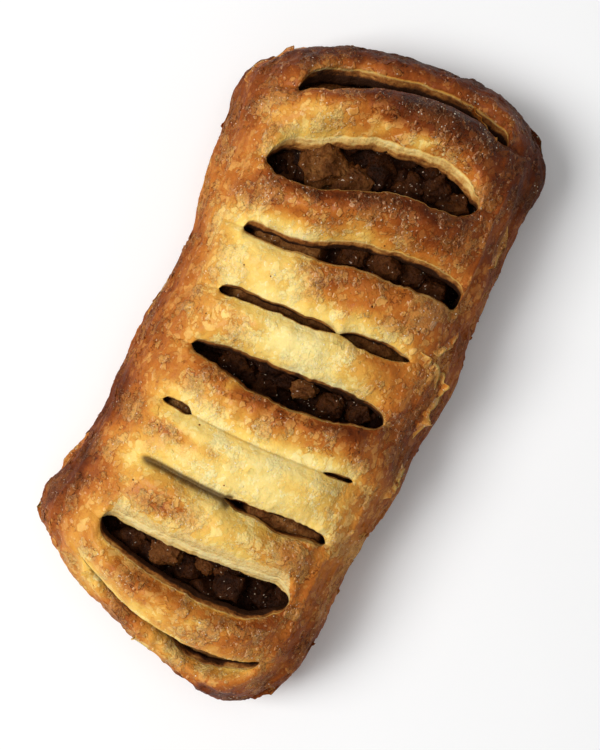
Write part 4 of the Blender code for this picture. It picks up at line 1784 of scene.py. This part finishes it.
class Board:
    """The node tree of one material, with its shader."""

    def __init__(self, name: str, **constants: float | tuple[float, ...]) -> None:
        """Starts a material.

        Args:
            name: its name.
            **constants: values of the shader's sockets, with _ for a space.
        """
        self.material = bpy.data.materials.new(name)
        self.material.use_nodes = True
        self.tree = self.material.node_tree
        self.shader = self.tree.nodes["Principled BSDF"]
        for key, value in constants.items():
            self.shader.inputs[key.replace("_", " ")].default_value = value

    def node(self, kind: str, settings: dict | None = None, inputs: dict | None = None, out: int | str = 0) -> Shade:
        """Adds a node and keeps one of its outputs.

        Args:
            kind: the node's type.
            settings: its own settings.
            inputs: the value or link of each socket, by name or number.
            out: which output is wanted.

        Returns:
            That output.
        """
        given = {key: value.socket if isinstance(value, Shade) else value for key, value in (inputs or {}).items()}
        return Shade(self, new_node(self.tree, kind, settings or {}, given)[out])

    def value(self, name: str) -> Shade:
        """What the mesh's points carry under this name."""
        return self.node("ShaderNodeAttribute", {"attribute_name": name}, out="Fac")

    def place(self) -> Shade:
        """The place on the object, in mm."""
        at = self.node("ShaderNodeTexCoord", out="Object")
        return self.stretch(at, (1 / MM,) * 3)

    def stretch(self, vector: Shade, factors: tuple[float, float, float]) -> Shade:
        """A vector with each part multiplied."""
        return self.vectors("MULTIPLY", vector, factors)

    def vectors(self, operation: str, a: Shade, b: Shade | tuple, out: str = "Vector") -> Shade:
        """A Vector Math node on two vectors, whose result is a Vector or, of a dot product, a Value."""
        return self.node("ShaderNodeVectorMath", {"operation": operation}, {0: a, 1: b}, out)

    def noise(self, at: Shade, size: float, detail: float = 2.0, rough: float = 0.5, out: str = "Fac") -> Shade:
        """Noise around 0.5, with lumps this many mm wide, as a value or a colour."""
        inputs = {"Vector": at, "Scale": 1 / size, "Detail": detail, "Roughness": rough}
        return self.node("ShaderNodeTexNoise", None, inputs, out)

    def cells(self, at: Shade, size: float, out: str = "Distance") -> Shade:
        """Scattered cells this many mm apart: the distance to each one's middle, or its own colour."""
        return self.node("ShaderNodeTexVoronoi", None, {"Vector": at, "Scale": 1 / size}, out=out)

    def chance(self, at: Shade, size: float) -> Shade:
        """A random value from 0 to 1 for each cell."""
        return self.node("ShaderNodeSeparateColor", None, {"Color": self.cells(at, size, "Color")})

    def borders(self, at: Shade, size: float) -> Shade:
        """The distance to the border between scattered cells this many mm apart."""
        settings = {"feature": "DISTANCE_TO_EDGE"}
        return self.node("ShaderNodeTexVoronoi", settings, {"Vector": at, "Scale": 1 / size}, out="Distance")

    def leaning(self, at: Shade, size: float, way: tuple[float, float, float]) -> Shade:
        """How far a place lies from its cell's middle along a way, in cell widths."""
        off = self.vectors("SUBTRACT", at, self.cells(at, size, "Position"))
        return self.vectors("DOT_PRODUCT", off, tuple(part / size for part in way), "Value")

    def plates(self, at: Shade, size: float) -> Shade:
        """Makes a surface of small plates that are each tipped their own way.

        Args:
            at: the place.
            size: how many mm the plates are apart.

        Returns:
            The plates' height in mm.
        """
        lean = self.vectors("SUBTRACT", self.cells(at, size, "Color"), (0.5,) * 3)
        off = self.vectors("SUBTRACT", at, self.cells(at, size, "Position"))
        return self.vectors("DOT_PRODUCT", off, lean, "Value")

    def warp(self, at: Shade, size: float, by: float) -> Shade:
        """Places pushed about by noise, up to about half of by mm."""
        centred = self.vectors("SUBTRACT", self.noise(at, size, out="Color"), (0.5,) * 3)
        return self.vectors("ADD", at, self.stretch(centred, (by,) * 3))

    def ramp(self, by: Shade, stops: Stops) -> Shade:
        """Colours picked by a value, from a finish's stops."""
        settings = {"stops": [(place, paint(*colour)) for place, colour in stops]}
        return self.node("ShaderNodeValToRGB", settings, {"Fac": by})

    def blend(self, by: Shade | float, a: Shade | tuple, b: Shade | tuple) -> Shade:
        """Mixes two colours.

        Args:
            by: the share of the second.
            a: the first colour.
            b: the second.

        Returns:
            The mixed colour.
        """
        settings = {"data_type": "RGBA", "clamp_factor": True}
        a, b = (c if isinstance(c, Shade) else (*c, 1) for c in (a, b))
        return self.node("ShaderNodeMix", settings, {0: by, 6: a, 7: b}, out=2)

    def finish(
        self, colour: Shade, roughness: Shade | float, height: Shade | None = None, coat: Shade | None = None
    ) -> None:
        """Links the shader's sockets.

        Args:
            colour: the base colour.
            roughness: the roughness.
            height: fine relief in mm, if there is any.
            coat: weight of the glaze, if it varies.
        """
        ends = {"Base Color": colour, "Roughness": roughness, "Coat Weight": coat}
        if height is not None:
            inputs = {"Strength": 1.0, "Distance": MM, "Height": height}
            ends["Normal"] = self.node("ShaderNodeBump", None, inputs)
        for key, value in ends.items():
            if isinstance(value, Shade):
                self.tree.links.new(value.socket, self.shader.inputs[key])
            elif value is not None:
                self.shader.inputs[key].default_value = value


def paint(red: int, green: int, blue: int) -> tuple[float, float, float]:
    """A colour from its everyday 0 to 255 values."""
    return tuple(((c / 255 + 0.055) / 1.055) ** 2.4 if c > 10 else c / 255 / 12.92 for c in (red, green, blue))


@dataclass(frozen=True)
class BakedFinish:
    """Egg-washed puff pastry, from pale cream to nearly black.

    Attributes:
        stops: the glazed crust's colours as it browns.
        skins: the colours of the dry skins that peel off it, as it browns.
        dough: the cut dough's colours, from dry to dark, the dark partly syrup and partly painted shade.
        window: the way the light comes from: the edges of its blisters get a painted highlight on the side toward it
            and a painted shade on the side away from it.
    """

    stops: Stops = (
        (0.00, (253, 228, 148)), (0.14, (249, 214, 120)), (0.28, (240, 193, 92)), (0.42, (220, 153, 62)),
        (0.56, (190, 110, 40)), (0.70, (148, 74, 25)), (0.84, (102, 44, 14)), (1.00, (56, 22, 8)),
    )
    skins: Stops = (
        (0.00, (255, 236, 166)), (0.14, (254, 226, 144)), (0.28, (250, 214, 126)), (0.42, (238, 187, 103)),
        (0.56, (216, 152, 76)), (0.70, (190, 120, 56)), (0.84, (156, 90, 42)), (1.00, (108, 57, 26)),
    )
    dough: Stops = (
        (0.00, (248, 226, 160)), (0.30, (228, 190, 114)), (0.52, (190, 134, 66)), (0.72, (138, 82, 35)),
        (0.92, (78, 44, 20)), (1.00, (52, 28, 14)),
    )
    # the light's way, for the painted highlights and shades on the blisters
    window: tuple[float, float, float] = (-0.10, 0.99, 0.10)

    def cut_dough(self, board: Board, at: Shade, clouds: Sequence[Shade]) -> tuple[Shade, Shade]:
        """Looks of the cut faces: faint long layers, and darkening toward the foot that is partly syrup come in from
        below and partly painted shade deep in the slit.

        Args:
            board: the material's nodes.
            at: the place.
            clouds: three sizes of noise, from broad to fine.

        Returns:
            The dough's colour, and its relief in mm.
        """
        zone, cloud, speckle = clouds
        depth, soaked = board.value("depth"), board.value("soaked")
        long = board.stretch(at, (1.0, 0.22, 1.0))
        layers = (depth * 6.0 + board.noise(long, 1.6, 3.0) * 10.0).waves()
        crumb = board.noise(board.stretch(at, (1.0, 0.6, 1.0)), 0.8, 4.0, 0.6) - 0.5
        # the face is painted darker toward its foot, partly for syrup and partly as painted shade deep in the slit
        sunk = depth * 0.12 + depth * depth * 0.04
        dough_syrup_and_shade = soaked * 0.60 + sunk * (0.30 + soaked * 0.40) + depth.step(0.2, 2.3) * (soaked * 0.42 + 0.07)
        dough_syrup_and_shade = dough_syrup_and_shade + zone * 0.7 + cloud * 0.6 + crumb * 0.40 + speckle * 0.2 + layers * 0.07
        specks = board.cells(at, 0.8).step(0.16, 0.1) * board.chance(at, 0.8).step(0.90, 0.91)
        relief = layers * 0.02 + crumb * 0.40 - specks * 0.10 + cloud * 0.5
        return board.ramp(dough_syrup_and_shade + specks * 0.5, self.dough), relief

    def material(self) -> bpy.types.Material:
        """Makes the material.

        Returns:
            The material, with its nodes.
        """
        board = Board(
            "baked_pastry", IOR=1.45, Specular_IOR_Level=0.12, Coat_Roughness=0.15, Coat_IOR=1.45,
            Subsurface_Weight=0.15, Subsurface_Radius=(1.0, 0.5, 0.2), Subsurface_Scale=0.0009,
        )
        at = board.place()
        bake, cut, flaked, lip = (board.value(key) for key in ("bake", "cut", "flaked", "lip"))
        groove, wall, verge = (board.value(key) for key in ("groove", "wall", "verge"))
        bent = board.warp(at, 2.2, 2.4)
        fine = board.warp(at, 0.9, 0.8)
        frayed = board.warp(bent, 0.7, 0.9)

        # browning, from broad to fine
        zone = board.noise(at, 7.0, 2.0) - 0.5
        cloud = board.noise(bent, 3.2, 5.0, 0.60) - 0.5
        speckle = board.noise(fine, 0.55, 3.0, 0.65) - 0.5
        tone = bake + zone * 0.16 + cloud * 0.28 - speckle * 0.06 - lip * 0.09
        tone = tone + wall.step(0.35, 0.90) * 0.10 - 0.045
        brown = tone.step(0.15, 0.65)

        # pale skins with ragged edges, angular flakes, flat blisters and small bubbles
        gather = zone * 1.05 + flaked * 0.05 - 0.02
        skin = board.noise(bent, 3.8, 7.0, 0.66) + gather
        film = board.noise(frayed, 1.7, 6.0, 0.68) + gather
        ragged, thin = skin.step(0.596, 0.604), film.step(0.630, 0.638)
        # rim is a painted highlight along the skins' edges, shade a painted shadow just outside them
        rim = abs(skin - 0.604).step(0.010, 0.0).over(abs(film - 0.640).step(0.014, 0.0) * 0.9)
        shade = abs(skin - 0.586).step(0.010, 0.0).over(abs(film - 0.616).step(0.014, 0.0) * 0.7)
        angular = board.borders(frayed, 2.8).step(0.05, 0.075) * (board.chance(frayed, 2.8) + gather).step(0.88, 0.885)
        wide = board.cells(frayed, 2.2) / (board.chance(frayed, 2.2) + gather)
        near = board.cells(fine, 1.2) / (board.chance(fine, 1.2) + gather)
        blister, small = wide.step(0.48, 0.46), near.step(0.42, 0.39)
        # painted highlight and painted shade: rings round the blisters and bubbles, lighter on the side toward the
        # light and darker on the side away from it
        wide_ring = abs(wide - 0.47).step(0.07, 0.01) * (board.chance(frayed, 2.2) + gather * 1.5).step(0.60, 0.70)
        near_ring = abs(near - 0.40).step(0.12, 0.02) * (board.chance(fine, 1.2) + gather * 1.5).step(0.66, 0.76)
        wide_lean, near_lean = board.leaning(frayed, 2.2, self.window), board.leaning(fine, 1.2, self.window)
        painted_highlight = (wide_ring * wide_lean.step(0.03, 0.16)).over(near_ring * near_lean.step(0.02, 0.14))
        painted_shade = (wide_ring * wide_lean.step(-0.03, -0.16)).over(near_ring * near_lean.step(-0.02, -0.14))
        # a painted highlight also runs along one side of the skins' edges, weaker on the walls and the darkest crust
        painted_highlight = painted_highlight.over(rim * cloud.step(-0.02, 0.03)) * (1 - wall * 0.5) * (1 - tone.step(0.70, 0.92) * 0.50)
        lot = board.chance(fine, 0.62) + gather * 0.7 - wall * 0.06
        bubble = board.cells(fine, 0.62).step(0.40, 0.12) * lot.step(0.86, 0.87)
        glint = board.cells(fine, 0.62).step(0.30, 0.14) * lot.step(0.925, 0.935)
        cover = (ragged * 0.95).over(thin * 0.80).over(angular * 0.80).over(blister * 0.80).over(small * 0.60)
        fleck = speckle.step(0.075, 0.105) * zone.step(-0.08, 0.02)
        cover = cover * (board.chance(bent, 3.6) * 0.8 + 0.3)
        cover = cover.over(bubble * 0.85).over(rim * 0.30).over(fleck * 0.22)
        cover = cover * (1 - tone.step(0.58, 0.88) * 0.60)

        # thin cracks and pin holes, and painted shade round the skins where the crust is brown
        crack = abs(board.noise(bent, 5.5, 5.0, 0.62) - 0.5).step(0.008, 0.002)
        crack = crack * board.noise(at, 6.0, 2.0).step(0.56, 0.60)
        holes = board.cells(at, 3.1).step(0.075, 0.05) * board.chance(at, 3.1).step(0.72, 0.74)
        lines = crack * 0.22 + painted_shade * 0.16 + shade * cloud.step(0.02, -0.03) * 0.12
        tone = tone + lines * brown + holes * 0.6 + speckle.step(-0.08, -0.12) * 0.03
        glazed = board.ramp(tone, self.stops)
        light = tone - 0.12 + brown * 0.10 - fleck * 0.15
        peeled = board.ramp(light - rim * 0.2 + speckle * 0.3, self.skins)
        glazed = board.blend(cover, glazed, peeled)
        # the painted highlight's colour: creamy on pale crust, pinker on brown
        painted_highlight_colour = board.blend(brown, paint(255, 240, 188), paint(238, 190, 144))
        glazed = board.blend(painted_highlight * 0.60, glazed, painted_highlight_colour)
        glazed = board.blend(glint * 0.8, glazed, paint(255, 240, 214))
        edge = (verge + zone * 0.9 + cloud * 0.9 + speckle * 0.6).step(0.45, 0.62) * verge.step(0.05, 0.30)
        bare = board.blend(speckle.step(-0.2, 0.2), paint(224, 180, 102), paint(252, 228, 160))
        glazed = board.blend(edge * 0.8, glazed, bare)
        # the grooves' brown, partly syrup and partly painted shade in the crease
        groove_syrup_and_shade_colour = board.blend(speckle.step(-0.2, 0.25), paint(66, 40, 18), paint(112, 78, 42))
        glazed = board.blend((groove + speckle * 0.4 * groove).step(0.10, 0.80) * 0.9, glazed, groove_syrup_and_shade_colour)

        # the cut faces, and the relief of both
        dough, dough_relief = self.cut_dough(board, at, (zone, cloud, speckle))
        colour = board.blend(cut, glazed, dough)
        crinkle = zone.step(-0.1, 0.12) * 0.8 + 0.2
        relief = cloud * 0.45 - zone * 0.3 + (speckle * 0.20 + board.plates(fine, 1.1) * 0.12) * crinkle
        flakes = skin.step(0.568, 0.626) * 0.20 + film.step(0.600, 0.656) * 0.13
        flakes = flakes + angular * 0.08 + wide.step(0.56, 0.36) * 0.14 + near.step(0.52, 0.26) * 0.10
        relief = relief + fleck * 0.04 + flakes * (brown * 0.8 + 0.2) + bubble * 0.10
        relief = relief - crack * brown * 0.12 - holes * 0.3
        ply = board.noise(board.stretch(bent, (0.12, 0.12, 1.0)), 0.8, 3.0, 0.6)
        relief = relief + ply * wall * 0.7
        height = relief * (1 - cut) + dough_relief * cut
        rough = 0.26 + (cut.over(wall) * 0.45).over(cover * 0.25) + speckle * 0.2
        coat = (1 - cut) * (1 - groove) * (0.16 - cover * 0.16) * (1 - brown * 0.8) * (1 - wall)
        board.finish(colour, rough, height, coat)
        return board.material


@dataclass(frozen=True)
class AppleFinish:
    """Cooked apple in cinnamon syrup.

    Attributes:
        name: the material's name.
        ground: how light it is where its points' value named pale is 0.
        stops: its colours, from syrup in the hollows to bare apple; the darkest are partly painted shade for the
            filling deep under the crust.
    """

    name: str
    ground: float
    stops: Stops = (
        (0.00, (26, 9, 2)), (0.20, (48, 22, 7)), (0.45, (78, 41, 15)), (0.65, (108, 64, 28)),
        (0.85, (144, 97, 50)), (1.00, (184, 138, 84)),
    )

    def material(self) -> bpy.types.Material:
        """Makes the material.

        Returns:
            The material, with its nodes.
        """
        board = Board(
            self.name, IOR=1.4, Specular_IOR_Level=0.1,
            Subsurface_Weight=0.25, Subsurface_Radius=(1.0, 0.45, 0.2), Subsurface_Scale=0.0012,
        )
        at = board.place()
        bent = board.warp(at, 1.6, 2.0)
        cloud = board.noise(bent, 3.2, 5.0, 0.6) - 0.5
        fibre = board.noise(board.stretch(bent, (1.0, 0.75, 1.3)), 1.2, 4.0, 0.62) - 0.5
        grain = board.noise(at, 0.35, 3.0, 0.6) - 0.5
        tone = board.value("pale") * 0.60 + self.ground + cloud * 0.9 + fibre * 0.35 + grain * 0.35
        dust = board.cells(at, 0.7).step(0.2, 0.12) * board.chance(at, 0.7).step(0.76, 0.80)
        colour = board.ramp(tone - dust * 0.25, self.stops)
        glint = board.cells(bent, 0.55).step(0.34, 0.15) * board.chance(bent, 0.55).step(0.90, 0.92)
        colour = board.blend(glint * 0.75, colour, paint(212, 190, 166))
        pits = board.noise(bent, 0.8, 4.0, 0.6).step(0.42, 0.30)
        height = cloud * 0.8 + fibre * 0.55 + grain * 0.22 - pits * 0.16
        board.finish(colour, 0.42 + grain * 0.5, height)
        return board.material


@dataclass(frozen=True)
class FloorFinish:
    """A plain white table."""

    def material(self) -> bpy.types.Material:
        """Makes the material.

        Returns:
            The material, with its nodes.
        """
        board = Board("white_table")
        faint = board.noise(board.place(), 60.0, 2.0)
        colour = board.blend(faint, paint(250, 250, 250), paint(254, 254, 254))
        board.finish(colour, 0.75)
        return board.material


# ---------------- the studio


@dataclass
class Studio:
    """A white table in soft light, seen from straight above.

    Attributes:
        camera_height: height of the camera over the table, in m.
        camera_over: x, y of the camera.
        camera_turn: how far the camera is turned about the upright, in degrees.
        lens: its focal length in mm.
        room: strength of the light that comes from all round.
        table: half the width of the table, in m.
        lights: name, place in m, width in m and power in W of each square light.
    """

    camera_height: float = 0.360
    camera_over: tuple[float, float] = (-0.001, -0.00475)
    camera_turn: float = -65.5
    lens: float = 76.27
    room: float = 0.22
    table: float = 2.0
    lights: tuple[tuple[str, tuple[float, float, float], float, float], ...] = (
        ("window", (-0.32, 0.62, 0.95), 0.6, 12.0),
        ("ceiling", (0.10, 0.00, 1.30), 0.9, 3.0),
    )

    def build(self) -> None:
        """Makes the floor, the lights and the camera."""
        scene = bpy.context.scene
        floor = linked("floor", bpy.data.meshes.new("floor"))
        corners = [(x * self.table, y * self.table, 0) for x, y in ((-1, -1), (1, -1), (1, 1), (-1, 1))]
        floor.data.from_pydata(corners, [], [(0, 1, 2, 3)])
        floor.data.materials.append(FloorFinish().material())

        world = bpy.data.worlds.new("soft_room")
        world.use_nodes = True
        world.node_tree.nodes["Background"].inputs["Color"].default_value = (1.0, 1.0, 1.0, 1)
        world.node_tree.nodes["Background"].inputs["Strength"].default_value = self.room
        scene.world = world
        for name, at, size, power in self.lights:
            light = linked(name, bpy.data.lights.new(name, "AREA"))
            light.data.size, light.data.energy = size, power
            light.location = at
            light.rotation_euler = (-Vector(at)).to_track_quat("-Z", "Y").to_euler()

        camera = linked("camera", bpy.data.cameras.new("camera"))
        camera.data.lens = self.lens
        camera.data.clip_start = 0.01
        camera.location = (*self.camera_over, self.camera_height)
        camera.rotation_euler = (0, 0, math.radians(self.camera_turn))
        scene.camera = camera
        scene.view_settings.view_transform = "Standard"


# ---------------- putting it together


def main() -> None:
    """Builds the strudel's pieces in order, attaches each to the root body and hides the model's part it stands for."""
    logging.basicConfig(level=logging.INFO, format="%(message)s")
    Studio().build()
    form = PillowForm()
    baked = BakedFinish().material()
    apple = AppleFinish("cooked_apple", 0.14).material()
    # the heap is darker than the dice, partly as painted shade deep under the crust
    syrup = AppleFinish("syrup", 0.10).material()

    sheet = SlashedSheet(form, Browning()).build(baked)
    base = BaseSheet(form).build(baked)
    pastry = (sheet, base, strew_flakes(sheet, baked), lay_peels(sheet, baked, Grain(77)))
    maker = AppleHeap(form)
    heap = maker.heap(syrup)
    filling = (heap, maker.placed_dice(apple), maker.scattered_dice(heap, apple))

    for node, slot, pieces in (("pastry", "baked_pastry", pastry), ("apple_filling", "apple_filling", filling)):
        for piece in pieces:
            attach(piece, "root")
            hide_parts(node)


if __name__ == "__main__":
    main()
